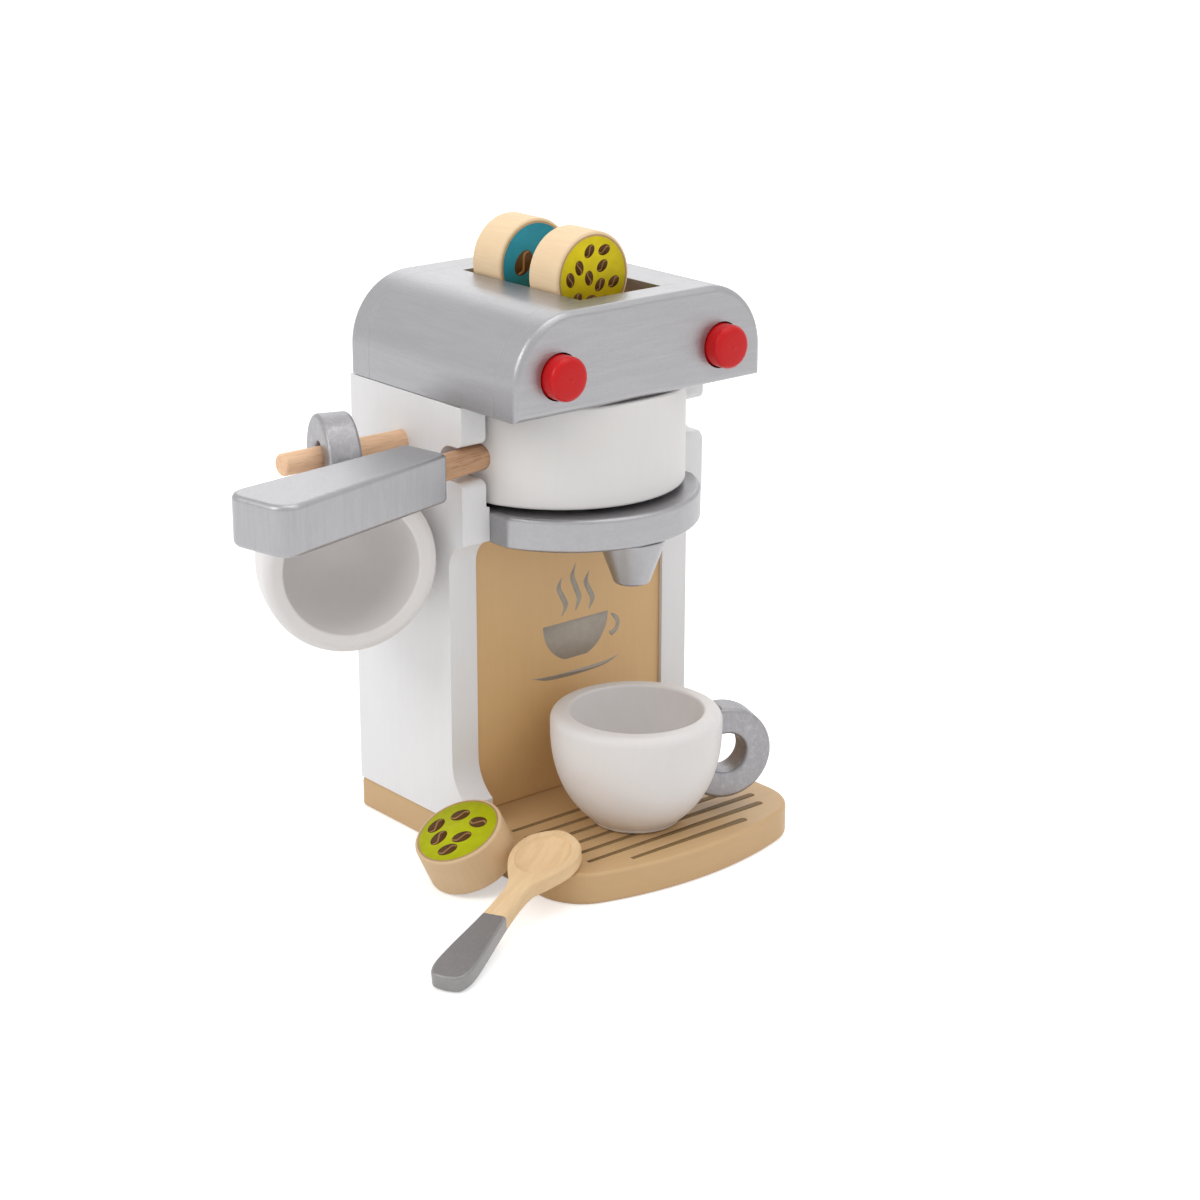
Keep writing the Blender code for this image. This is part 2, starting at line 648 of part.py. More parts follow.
def make_housing_end(parts, cutters, name, front_face, outer_side):
    """Build one of the two thick boards that close the arched housing."""
    outline = arch(BASE_HALF_WIDTH, HOUSING_CORNER, HOUSING_BOTTOM, HOUSING_TOP)
    board = slab(name, outline, HOUSING_END_THICKNESS, parts)
    along_y(board, -1)
    board.location.y = forward(front_face - HOUSING_END_THICKNESS * HALF)
    rounded_face(board, outer_side, HOUSING_ROUNDING, FINE_EDGE)
    return painted(board, name + " silver paint", SILVER, SATIN, 0.6)


def make_housing(parts, cutters):
    """Build the arched housing with its open pod slot, its floor and the trough that the pods stand in."""
    front_board = make_housing_end(parts, cutters, "housing_front_board", HOUSING_DEPTH, 1.0)
    for side, label in ((-1.0, "left"), (1.0, "right")):
        hole = along_y(cylinder(label + "_button_hole", BUTTON_HOLE_RADIUS, HOUSING_END_THICKNESS + 2 * OVERRUN, cutters))
        hole.location = (side * BUTTON_SIDE, forward(HOUSING_DEPTH + OVERRUN), BUTTON_HEIGHT)
        cut(front_board, hole)
    make_housing_end(parts, cutters, "housing_back_board", HOUSING_END_THICKNESS, -1.0)

    inner_half = BASE_HALF_WIDTH - HOOD_WALL
    bottom = HOUSING_BOTTOM
    outer = arch(BASE_HALF_WIDTH, HOUSING_CORNER, bottom, HOUSING_TOP)
    inner = arch(inner_half, HOUSING_CORNER - HOOD_WALL, bottom, HOUSING_TOP - HOOD_WALL, False)
    inside_front = HOUSING_DEPTH - HOUSING_END_THICKNESS - SEAM
    inside_back = HOUSING_END_THICKNESS + SEAM
    hood = slab("housing_hood", outer + inner, inside_front - inside_back, parts)
    along_y(hood, -1)
    hood.location.y = forward((inside_front + inside_back) * HALF)
    slot_low = (-SLOT_HALF_WIDTH, forward(inside_front + OVERRUN), HOUSING_TOP - HOOD_WALL - OVERRUN)
    slot_high = (SLOT_HALF_WIDTH, forward(SLOT_BACK), HOUSING_TOP + OVERRUN)
    cut(hood, box("hood_slot", slot_low, slot_high, cutters))
    painted(hood, "hood silver paint", SILVER, SATIN, 0.6)

    floor_half = inner_half - SEAM
    floor_low = (-floor_half, forward(inside_front), bottom)
    floor_high = (floor_half, forward(inside_back), bottom + HOUSING_FLOOR_THICKNESS)
    floor = rounded(box("housing_floor", floor_low, floor_high, parts), FINE_EDGE)
    axle_hole = cylinder("floor_axle_hole", AXLE_RADIUS + SEAM, HOUSING_FLOOR_THICKNESS + 2 * OVERRUN, cutters)
    axle_hole.location = (0.0, forward(HEAD_AXIS), bottom - OVERRUN)
    cut(floor, axle_hole)
    painted(floor, "floor birch", BIRCH, BARE)

    seat = HOUSING_TOP - POD_SEAT_DEPTH
    trough_half = SLOT_HALF_WIDTH + TROUGH_WALL
    trough_low = (-trough_half, forward(inside_front), seat - TROUGH_WALL)
    trough_high = (trough_half, forward(SLOT_BACK - TROUGH_WALL), HOUSING_TOP - HOOD_WALL - SEAM)
    trough = box("pod_trough", trough_low, trough_high, parts)
    well_high = (SLOT_HALF_WIDTH, forward(SLOT_BACK), HOUSING_TOP)
    well = box("trough_well", (-SLOT_HALF_WIDTH, forward(inside_front + OVERRUN), seat), well_high, cutters)
    cut(trough, well)
    painted(trough, "trough birch", BIRCH, BARE)


def make_pod(parts, name):
    """Build one round pod about local Z, with its printed face on top at the local origin."""
    pod = cylinder(name, POD_RADIUS, POD_THICKNESS, parts, ROUND_SIDES)
    pod.data.transform(Matrix.Translation((0.0, 0.0, -POD_THICKNESS)))
    rounded(pod, POD_ROUNDING)
    return painted(pod, name + " birch", BIRCH, BARE)


def make_pods(parts):
    """Build the two pods that stand in the slot and the one that leans on the base board's left edge."""
    height = HOUSING_TOP - POD_SEAT_DEPTH + SEAM + POD_RADIUS
    for name, face in (("yellow_pod", YELLOW_POD_FACE), ("blue_pod", BLUE_POD_FACE)):
        pod = along_y(make_pod(parts, name), -1)
        pod.location = (POD_SIDE_SHIFT, forward(face), height)

    pod = make_pod(parts, "green_pod")
    tilt = LEANING_POD_TILT
    # The pod's back plane passes the board's rounded top edge and its own rounded rim meets the floor.
    edge = Vector((BASE_ROUNDING - BASE_HALF_WIDTH, BASE_TOP - BASE_ROUNDING))
    normal = Vector((-math.sin(tilt), math.cos(tilt)))
    back_plane = normal.dot(edge) + BASE_ROUNDING + SEAM
    slope = Vector((math.cos(tilt), math.sin(tilt)))
    rim = POD_RADIUS - POD_ROUNDING
    rise = SEAM + POD_ROUNDING - POD_ROUNDING * normal.y + rim * slope.y
    back_x = (back_plane - rise * normal.y) / normal.x
    centre = Vector((back_x, rise)) + normal * POD_THICKNESS
    lean = Matrix.Rotation(-tilt, 4, "Y")
    pod.matrix_world = Matrix.Translation((centre.x, forward(LEANING_POD_FORWARD), centre.y)) @ lean


def make_button(parts, side, label):
    """Build one sprung button: the cap with its flange, the spring behind it and the block it pushes on."""
    behind = HOUSING_DEPTH - HOUSING_END_THICKNESS - SEAM
    front = HOUSING_DEPTH + BUTTON_PROTRUSION
    soft = BUTTON_ROUNDING
    nose = [(BUTTON_RADIUS - soft + x, -soft + z) for x, z in arc((0.0, 0.0), soft, math.pi * HALF, 0.0)]
    shank = behind - front
    back = shank - BUTTON_FLANGE_THICKNESS
    flange = [(BUTTON_RADIUS, shank), (BUTTON_FLANGE_RADIUS, shank), (BUTTON_FLANGE_RADIUS, back), (0.0, back)]
    button = turned(label + "_button", [(0.0, 0.0)] + nose + flange, parts, SMALL_SIDES)
    along_y(button, -1)
    button.location = (side * BUTTON_SIDE, forward(front), BUTTON_HEIGHT)
    painted(button, label + " button red gloss", RED, GLOSSY)

    spring_front = behind - BUTTON_FLANGE_THICKNESS - SEAM
    spring = make_spring(parts, label + "_spring")
    along_y(spring)
    spring.location = (side * BUTTON_SIDE, forward(spring_front), BUTTON_HEIGHT)

    block_front = spring_front - SPRING_LENGTH - SEAM
    inner, outer = sorted((side * SPRING_BLOCK_INNER, side * SPRING_BLOCK_OUTER))
    block_bottom = HOUSING_BOTTOM + HOUSING_FLOOR_THICKNESS + SEAM
    low = (inner, forward(block_front), block_bottom)
    high = (outer, forward(block_front - SPRING_BLOCK_DEPTH), SPRING_BLOCK_TOP)
    block = rounded(box(label + "_spring_block", low, high, parts), FINE_EDGE)
    painted(block, label + " block birch", BIRCH, BARE)


def make_spring(parts, name):
    """Build a wire compression spring that runs along local +Z."""
    curve = bpy.data.curves.new(name, "CURVE")
    curve.dimensions = "3D"
    curve.bevel_depth = SPRING_WIRE_RADIUS
    curve.bevel_resolution = 1
    curve.use_fill_caps = True
    count = SPRING_TURNS * SPRING_POINTS_A_TURN + 1
    spline = curve.splines.new("POLY")
    spline.points.add(count - 1)
    reach = SPRING_RADIUS - SPRING_WIRE_RADIUS
    rise = SPRING_LENGTH - 2 * SPRING_WIRE_RADIUS
    for i, point in enumerate(spline.points):
        angle = 2 * math.pi * i / SPRING_POINTS_A_TURN
        height = SPRING_WIRE_RADIUS + rise * i / (count - 1)
        point.co = (reach * math.cos(angle), reach * math.sin(angle), height, 1.0)
    gap = rise / SPRING_TURNS - 2 * SPRING_WIRE_RADIUS
    print(f"{name}: least gap between turns {gap * 1000:.2f} mm")
    curve_object = bpy.data.objects.new(name, curve)
    bpy.context.scene.collection.objects.link(curve_object)
    return painted(mesh_of_curve(curve_object, parts), name + " steel", STEEL, GLOSSY, 1.0)


def make_side_peg(parts):
    """Build the peg on the left panel that the spare cup hangs on."""
    inner = BASE_HALF_WIDTH - PEG_SEAT
    peg = along_x(cylinder("side_peg", PEG_RADIUS, PEG_TIP - inner, parts), -1)
    peg.location = (-inner, forward(PEG_BACK), PEG_HEIGHT)
    rounded(peg, PEG_ROUNDING)
    painted(peg, "peg beech", BEECH, BARE)


def cup_side(steps):
    """Return the cup's outer side from its widest height down to its foot."""
    points = []
    for i in range(steps + 1):
        height = CUP_WIDEST_HEIGHT + (CUP_FOOT_ROUNDING - CUP_WIDEST_HEIGHT) * i / steps
        share = (CUP_WIDEST_HEIGHT - height) / CUP_CURVE_HEIGHT
        points.append((CUP_RADIUS * math.sqrt(1 - share**CUP_SIDE_FULLNESS), height))
    foot_radius = points[-1][0]
    return points + [(foot_radius - CUP_FOOT_ROUNDING, 0.0), (0.0, 0.0)]


def cup_profile():
    """Return the whole cup section: bowl floor, bowl wall, flat-topped rim, outer side and foot."""
    turn = math.pi * HALF
    rim_height = CUP_HEIGHT - CUP_MOUTH_ROUNDING
    bowl = []
    for i in range(CUP_BOWL_STEPS + 1):
        angle = math.pi * HALF * (1 - i / CUP_BOWL_STEPS)
        radius = CUP_INNER_RADIUS * max(0.0, math.cos(angle)) ** CUP_BOWL_FULLNESS
        bowl.append((radius, rim_height - (rim_height - CUP_FLOOR) * math.sin(angle)))
    bowl[0] = (0.0, CUP_FLOOR)
    mouth = arc((CUP_INNER_RADIUS + CUP_MOUTH_ROUNDING, rim_height), CUP_MOUTH_ROUNDING, 2 * turn, turn)
    rim = arc((CUP_RADIUS - CUP_RIM_ROUNDING, CUP_HEIGHT - CUP_RIM_ROUNDING), CUP_RIM_ROUNDING, turn, 0.0)
    return bowl + mouth[1:] + rim + cup_side(CUP_WALL_STEPS)


def make_cup(parts, cutters, name, matrix):
    """Build one cup and its ring handle, which is cut to the cup's outer side."""
    seat = empty(name + "_seat", matrix, parts)
    cup = turned(name, cup_profile(), parts, ROUND_SIDES)
    cup.parent = seat
    painted(cup, name + " white paint", WHITE, SATIN)

    half = RING_THICKNESS * HALF
    soft = RING_ROUNDING
    turn = math.pi * HALF
    section = (
        arc((RING_RADIUS - soft, half - soft), soft, turn, 0.0)
        + arc((RING_RADIUS - soft, soft - half), soft, 0.0, -turn)
        + arc((RING_HOLE_RADIUS + soft, soft - half), soft, -turn, -2 * turn)
        + arc((RING_HOLE_RADIUS + soft, half - soft), soft, 2 * turn, turn)
    )
    ring = turned(name + "_handle", section, parts, RING_SIDES, closed=True)
    ring.parent = seat
    ring.location = (RING_OFFSET, 0.0, RING_HEIGHT)
    along_y(ring, -1)
    grown = [(radius + SEAM if radius else 0.0, height) for radius, height in cup_side(CUP_WALL_STEPS)]
    over = [(0.0, CUP_HEIGHT + OVERRUN), (CUP_RADIUS + SEAM, CUP_HEIGHT + OVERRUN)]
    shape = turned(name + "_outside", over + grown, cutters, ROUND_SIDES)
    shape.parent = seat
    cut(ring, shape)
    painted(ring, name + " handle silver paint", SILVER, SATIN, 0.6)


def make_cups(parts, cutters):
    """Build the cup on the tray and the cup that hangs by its ring on the side peg."""
    place = Matrix.Translation((TRAY_CUP_SIDE, forward(TRAY_CUP_FORWARD), BASE_TOP + SEAM))
    make_cup(parts, cutters, "tray_cup", place @ Matrix.Rotation(TRAY_CUP_TURN, 4, "Z"))

    mouth = Vector((-math.sin(HANGING_CUP_TURN), -math.cos(HANGING_CUP_TURN), 0.0))
    up = Vector((0.0, 0.0, 1.0))
    turn = Matrix((up, mouth.cross(up), mouth)).transposed().to_4x4()
    ring_height = PEG_HEIGHT + PEG_RADIUS + 3 * SEAM - RING_HOLE_RADIUS
    ring = Vector((HANGING_CUP_RING_SIDE, forward(PEG_BACK), ring_height))
    foot = ring - up * RING_OFFSET - mouth * RING_HEIGHT
    make_cup(parts, cutters, "hanging_cup", Matrix.Translation(foot) @ turn)


def make_spoon(parts, cutters):
    """Build the flat wooden spoon with its dished bowl, lying from the floor up onto the tray's corner."""
    side = [(place * SPOON_LENGTH, half * SPOON_LENGTH) for place, half in SPOON_OUTLINE_SHARES]
    outline = [(0.0, 0.0)] + side + [(SPOON_LENGTH, 0.0)] + [(x, -y) for x, y in reversed(side)]
    rest = (
        Matrix.Translation((SPOON_TIP_SIDE, forward(SPOON_TIP_FORWARD), SPOON_LIFT))
        @ Matrix.Rotation(SPOON_HEADING, 4, "Z")
        @ Matrix.Rotation(-SPOON_TILT, 4, "Y")
    )
    seat = empty("spoon_seat", rest, parts)
    spoon = slab("spoon", outline, SPOON_THICKNESS, parts, smooth=True)
    spoon.parent = seat
    spoon.location.z = SPOON_THICKNESS * HALF
    rounded(spoon, SPOON_ROUNDING)
    mesh = bpy.data.meshes.new("spoon_dish")
    ball = bmesh.new()
    bmesh.ops.create_uvsphere(ball, u_segments=SMALL_SIDES, v_segments=SMALL_SIDES // 2, radius=1.0)
    ball.to_mesh(mesh)
    ball.free()
    dish = link_mesh("spoon_dish", mesh, cutters)
    dish.parent = seat
    dish.location = (SPOON_LENGTH * SPOON_BOWL_PLACE_SHARE, 0.0, SPOON_THICKNESS)
    dish.scale = (SPOON_LENGTH * SPOON_DISH_LENGTH_SHARE, SPOON_LENGTH * SPOON_DISH_WIDTH_SHARE, SPOON_DISH_DEPTH)
    cut(spoon, dish)
    painted(spoon, "spoon birch", BIRCH, BARE)


def main():
    """Build the toy in its own collection, with the cutters in another."""
    clear_scene()
    parts = new_collection("toy_coffee_maker")
    cutters = new_collection("cutters", rendered=False)
    make_base(parts)
    make_panels(parts, cutters)
    make_brew_plate(parts, cutters)
    make_spout(parts)
    make_brew_head(parts, cutters)
    make_housing(parts, cutters)
    make_button(parts, -1.0, "left")
    make_button(parts, 1.0, "right")
    make_side_peg(parts)
    make_pods(parts)
    make_cups(parts, cutters)
    make_spoon(parts, cutters)


main()
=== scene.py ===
"""Dresses a wooden toy coffee maker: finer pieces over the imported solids, painted, grained and printed.

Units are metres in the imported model's own frame.
-Y is the front, +Z is up and the origin lies under the base board.
"""

from __future__ import annotations

import json
import logging
import math
from collections.abc import Callable, Sequence
from dataclasses import dataclass
from enum import Enum

import bmesh
import bpy
from mathutils import Matrix, Vector

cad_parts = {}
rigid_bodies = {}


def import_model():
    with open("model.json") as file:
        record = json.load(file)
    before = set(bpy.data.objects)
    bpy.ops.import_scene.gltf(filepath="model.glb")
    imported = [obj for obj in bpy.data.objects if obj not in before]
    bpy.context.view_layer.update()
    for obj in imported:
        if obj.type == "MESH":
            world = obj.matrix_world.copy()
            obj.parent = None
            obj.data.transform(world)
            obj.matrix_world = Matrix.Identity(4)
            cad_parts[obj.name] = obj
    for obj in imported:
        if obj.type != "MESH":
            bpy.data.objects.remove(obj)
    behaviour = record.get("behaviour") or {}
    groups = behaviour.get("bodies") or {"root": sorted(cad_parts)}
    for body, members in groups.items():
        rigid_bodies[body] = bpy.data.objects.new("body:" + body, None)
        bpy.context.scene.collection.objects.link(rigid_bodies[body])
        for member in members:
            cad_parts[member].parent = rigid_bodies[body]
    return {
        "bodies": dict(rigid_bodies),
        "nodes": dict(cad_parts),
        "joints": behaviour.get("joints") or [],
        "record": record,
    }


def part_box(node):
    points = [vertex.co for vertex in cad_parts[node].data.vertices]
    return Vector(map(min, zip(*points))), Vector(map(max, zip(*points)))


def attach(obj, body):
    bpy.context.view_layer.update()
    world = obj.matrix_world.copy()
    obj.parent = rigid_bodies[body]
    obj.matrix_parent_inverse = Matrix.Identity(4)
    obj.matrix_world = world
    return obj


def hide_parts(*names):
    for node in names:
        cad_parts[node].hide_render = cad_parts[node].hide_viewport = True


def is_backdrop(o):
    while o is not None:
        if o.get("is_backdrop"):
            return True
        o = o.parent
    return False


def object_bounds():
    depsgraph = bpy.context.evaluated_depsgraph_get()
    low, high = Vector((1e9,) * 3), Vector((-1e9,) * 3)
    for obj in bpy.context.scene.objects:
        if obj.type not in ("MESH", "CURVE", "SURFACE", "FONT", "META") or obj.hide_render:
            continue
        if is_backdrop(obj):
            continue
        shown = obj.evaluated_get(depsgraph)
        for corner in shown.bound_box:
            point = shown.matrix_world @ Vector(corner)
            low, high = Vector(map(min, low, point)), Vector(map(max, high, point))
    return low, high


LOG = logging.getLogger("toy_coffee_maker")
SQUARE = math.pi / 2
SAGITTA = 0.00002
SHARP = math.radians(35)
WELD = 0.000002
SEAM = 0.00006
INK = 0.00004
RELIEF = 0.0003
WOOD_BUMP = 0.25
INK_BUMP = 0.08
INK_RELIEF = 0.0002
AXLE_BORE = 0.0053
DOWEL_FIT = 0.00012
DRILL = 0.02
LONG_DRILL = 0.06

Point = tuple[float, float]
Colour = tuple[float, float, float]


class Facing(Enum):
    """Which way a flat outline faces once it is placed."""

    SIDE = "side"
    FRONT = "front"

    def matrix(self) -> Matrix:
        """Return the turn from the drawing plane: SIDE sends its normal to +X and FRONT to -Y."""
        if self is Facing.SIDE:
            return Matrix(((0, 0, 1, 0), (1, 0, 0, 0), (0, 1, 0, 0), (0, 0, 0, 1)))
        return Matrix.Rotation(SQUARE, 4, "X")


class Pen:
    """Draws one outline in the XY plane, by extruding and spinning a vertex."""

    def __init__(self, x: float, y: float) -> None:
        """Start a drawing.

        Args:
            x: first point's place across.
            y: first point's place up.
        """
        self.mesh = bmesh.new()
        self.tip = self.mesh.verts.new((x, y, 0.0))

    def line(self, x: float, y: float) -> Pen:
        """Draw a straight stroke.

        Args:
            x: the end's place across.
            y: the end's place up.

        Returns:
            The pen itself.
        """
        made = bmesh.ops.extrude_vert_indiv(self.mesh, verts=[self.tip])
        self.tip = made["verts"][0]
        self.tip.co = (x, y, 0.0)
        return self

    def through(self, points: Sequence[Point]) -> Pen:
        """Draw straight strokes through all the points.

        Args:
            points: the places to pass.

        Returns:
            The pen itself.
        """
        for x, y in points:
            self.line(x, y)
        return self

    def arc(self, x: float, y: float, turn: float) -> Pen:
        """Draw an arc from the tip about a centre.

        Args:
            x: the centre's place across.
            y: the centre's place up.
            turn: the angle in radians, counter-clockwise.

        Returns:
            The pen itself.
        """
        radius = max((self.tip.co - Vector((x, y, 0.0))).length, SAGITTA * 2)
        steps = max(3, math.ceil(abs(turn) / (2 * math.acos(1 - SAGITTA / radius))))
        made = bmesh.ops.spin(
            self.mesh,
            geom=[self.tip],
            cent=(x, y, 0.0),
            dvec=(0.0, 0.0, 0.0),
            axis=(0.0, 0.0, 1.0),
            angle=turn,
            steps=steps,
            use_merge=False,
            use_normal_flip=False,
            use_duplicate=False,
        )
        self.tip = next(v for v in made["geom_last"] if isinstance(v, bmesh.types.BMVert))
        return self

    def curve(self, points: Sequence[Point], steps: int = 8) -> Pen:
        """Draw a smooth stroke that passes every point.

        Args:
            points: the tip's place, then the points to pass.
            steps: the strokes between two points.

        Returns:
            The pen itself.
        """
        known = [Vector(p) for p in points]
        ends = [known[0] * 2 - known[1], *known, known[-1] * 2 - known[-2]]
        for before, start, end, after in zip(ends, ends[1:], ends[2:], ends[3:]):
            for i in range(1, steps + 1):
                t = i / steps
                spot = (
                    start * 2
                    + (end - before) * t
                    + (before * 2 - start * 5 + end * 4 - after) * t**2
                    + (start * 3 - before - end * 3 + after) * t**3
                ) / 2
                self.line(spot.x, spot.y)
        return self

    def closed(self) -> bmesh.types.BMesh:
        """Return the drawing with its ends joined."""
        bmesh.ops.remove_doubles(self.mesh, verts=self.mesh.verts, dist=WELD)
        ends = [v for v in self.mesh.verts if len(v.link_edges) == 1]
        if len(ends) == 2:
            self.mesh.edges.new(ends)
        return self.mesh


class Stock:
    """A piece of stock that is being shaped."""

    def __init__(self, mesh: bmesh.types.BMesh) -> None:
        """Take over a mesh.

        Args:
            mesh: the open bmesh.
        """
        self.mesh = mesh

    @classmethod
    def board(cls, drawing: Pen, thickness: float, hole: Pen | None = None) -> Stock:
        """Cut a board to an outline, centred on the drawing plane.

        Args:
            drawing: the outline.
            thickness: the board's thickness.
            hole: an inner outline, for an open ring.

        Returns:
            The stock.
        """
        mesh = drawing.closed()
        if hole is not None:
            inner = hole.closed()
            scrap = bpy.data.meshes.new("hole")
            inner.to_mesh(scrap)
            inner.free()
            mesh.from_mesh(scrap)
            bpy.data.meshes.remove(scrap)
            bmesh.ops.triangle_fill(mesh, use_beauty=True, use_dissolve=True, edges=mesh.edges)
        else:
            bmesh.ops.contextual_create(mesh, geom=mesh.edges[:])
        bmesh.ops.translate(mesh, verts=mesh.verts, vec=(0.0, 0.0, -thickness / 2))
        made = bmesh.ops.extrude_face_region(mesh, geom=mesh.faces[:], use_keep_orig=True)
        raised = [v for v in made["geom"] if isinstance(v, bmesh.types.BMVert)]
        bmesh.ops.translate(mesh, verts=raised, vec=(0.0, 0.0, thickness))
        bmesh.ops.recalc_face_normals(mesh, faces=mesh.faces)
        return cls(mesh)

    @classmethod
    def block(cls, low: Sequence[float], high: Sequence[float]) -> Stock:
        """Cut a rectangular block.

        Args:
            low: its lowest corner.
            high: its highest corner.

        Returns:
            The stock.
        """
        mesh = bmesh.new()
        bmesh.ops.create_cube(mesh, size=1.0)
        bmesh.ops.scale(mesh, vec=Vector(high) - Vector(low), verts=mesh.verts)
        bmesh.ops.translate(mesh, vec=(Vector(low) + Vector(high)) / 2, verts=mesh.verts)
        return cls(mesh)

    @classmethod
    def rod(cls, radius: float, length: float, sides: int = 96) -> Stock:
        """Cut a round rod that stands on the drawing plane.

        Args:
            radius: the rod's radius.
            length: the rod's length.
            sides: the number of facets round it.

        Returns:
            The stock.
        """
        mesh = bmesh.new()
        bmesh.ops.create_cone(
            mesh, cap_ends=True, cap_tris=False, segments=sides, radius1=radius, radius2=radius, depth=length
        )
        bmesh.ops.translate(mesh, vec=(0.0, 0.0, length / 2), verts=mesh.verts)
        return cls(mesh)

    @classmethod
    def turned(cls, profile: Pen, sides: int = 96, ring: bool = False) -> Stock:
        """Turn a profile of (radius, height) on the lathe, about Z.

        Args:
            profile: the half section.
            sides: the number of facets round it.
            ring: whether the section closes on itself.

        Returns:
            The stock.
        """
        mesh = profile.closed() if ring else profile.mesh
        bmesh.ops.rotate(mesh, verts=mesh.verts, cent=(0.0, 0.0, 0.0), matrix=Matrix.Rotation(SQUARE, 3, "X"))
        bmesh.ops.spin(
            mesh,
            geom=mesh.verts[:] + mesh.edges[:],
            cent=(0.0, 0.0, 0.0),
            dvec=(0.0, 0.0, 0.0),
            axis=(0.0, 0.0, 1.0),
            angle=2 * math.pi,
            steps=sides,
            use_merge=True,
            use_normal_flip=False,
            use_duplicate=False,
        )
        bmesh.ops.remove_doubles(mesh, verts=mesh.verts, dist=WELD)
        bmesh.ops.recalc_face_normals(mesh, faces=mesh.faces)
        return cls(mesh)

    def ease(
        self, width: float, segments: int = 4, where: Callable[[Vector], bool] = lambda _: True
    ) -> Stock:
        """Round the sharp edges.

        Args:
            width: the rounding's width.
            segments: its facets.
            where: which edges, by the place of both their ends.

        Returns:
            The stock itself.
        """
        sharp = [e for e in self.mesh.edges if e.calc_face_angle(0.0) > SHARP]
        edges = [e for e in sharp if all(where(v.co) for v in e.verts)]
        bmesh.ops.bevel(
            self.mesh,
            geom=edges,
            offset=width,
            offset_type="OFFSET",
            segments=segments,
            profile=0.5,
            affect="EDGES",
            clamp_overlap=True,
            material=-1,
        )
        return self

    def placed(self, matrix: Matrix) -> Stock:
        """Move the stock.

        Args:
            matrix: where to.

        Returns:
            The stock itself.
        """
        bmesh.ops.transform(self.mesh, matrix=matrix, verts=self.mesh.verts)
        return self

    def piece(self, name: str) -> bpy.types.Object:
        """Make the stock an object with smooth faces, at the origin.

        Args:
            name: the object's name.

        Returns:
            The object.
        """
        for face in self.mesh.faces:
            face.smooth = True
        mesh = bpy.data.meshes.new(name)
        self.mesh.to_mesh(mesh)
        self.mesh.free()
        obj = bpy.data.objects.new(name, mesh)
        bpy.context.scene.collection.objects.link(obj)
        return obj


def carve(piece: bpy.types.Object, *cutters: Stock) -> bpy.types.Object:
    """Cut shapes out of a piece.

    Args:
        piece: the piece.
        cutters: the shapes to take away, already in place.

    Returns:
        The piece with its new mesh.
    """
    tools = [cutter.piece(f"{piece.name}_cutter") for cutter in cutters]
    for tool in tools:
        boolean = piece.modifiers.new("cut", "BOOLEAN")
        boolean.operation = "DIFFERENCE"
        boolean.solver = "EXACT"
        boolean.object = tool
    graph = bpy.context.evaluated_depsgraph_get()
    mesh = bpy.data.meshes.new_from_object(piece.evaluated_get(graph))
    piece.modifiers.clear()
    piece.data = mesh
    for tool in tools:
        bpy.data.objects.remove(tool, do_unlink=True)
    return piece


def soften(piece: bpy.types.Object, width: float, segments: int = 3) -> bpy.types.Object:
    """Round what is still sharp on a piece and even out its shading.

    Args:
        piece: the piece.
        width: the rounding's width, or 0 for none.
        segments: its facets.

    Returns:
        The piece.
    """
    if width:
        bevel = piece.modifiers.new("eased edges", "BEVEL")
        bevel.width = width
        bevel.segments = segments
        bevel.limit_method = "ANGLE"
        bevel.angle_limit = SHARP
        bevel.use_clamp_overlap = True
    normals = piece.modifiers.new("even shading", "WEIGHTED_NORMAL")
    normals.keep_sharp = True
    normals.weight = 80
    return piece


def forward(distance: float) -> float:
    """Return the Y of a point that lies this far ahead of the back plane."""
    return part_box("base_board")[1].y - distance


# Finishes


class Effect(Enum):
    """The shader groups that several finishes share."""

    GRAIN = "wood grain"
    PEEL = "paint skin"
    FLECKS = "ray flecks"
    RUB = "handling rub"


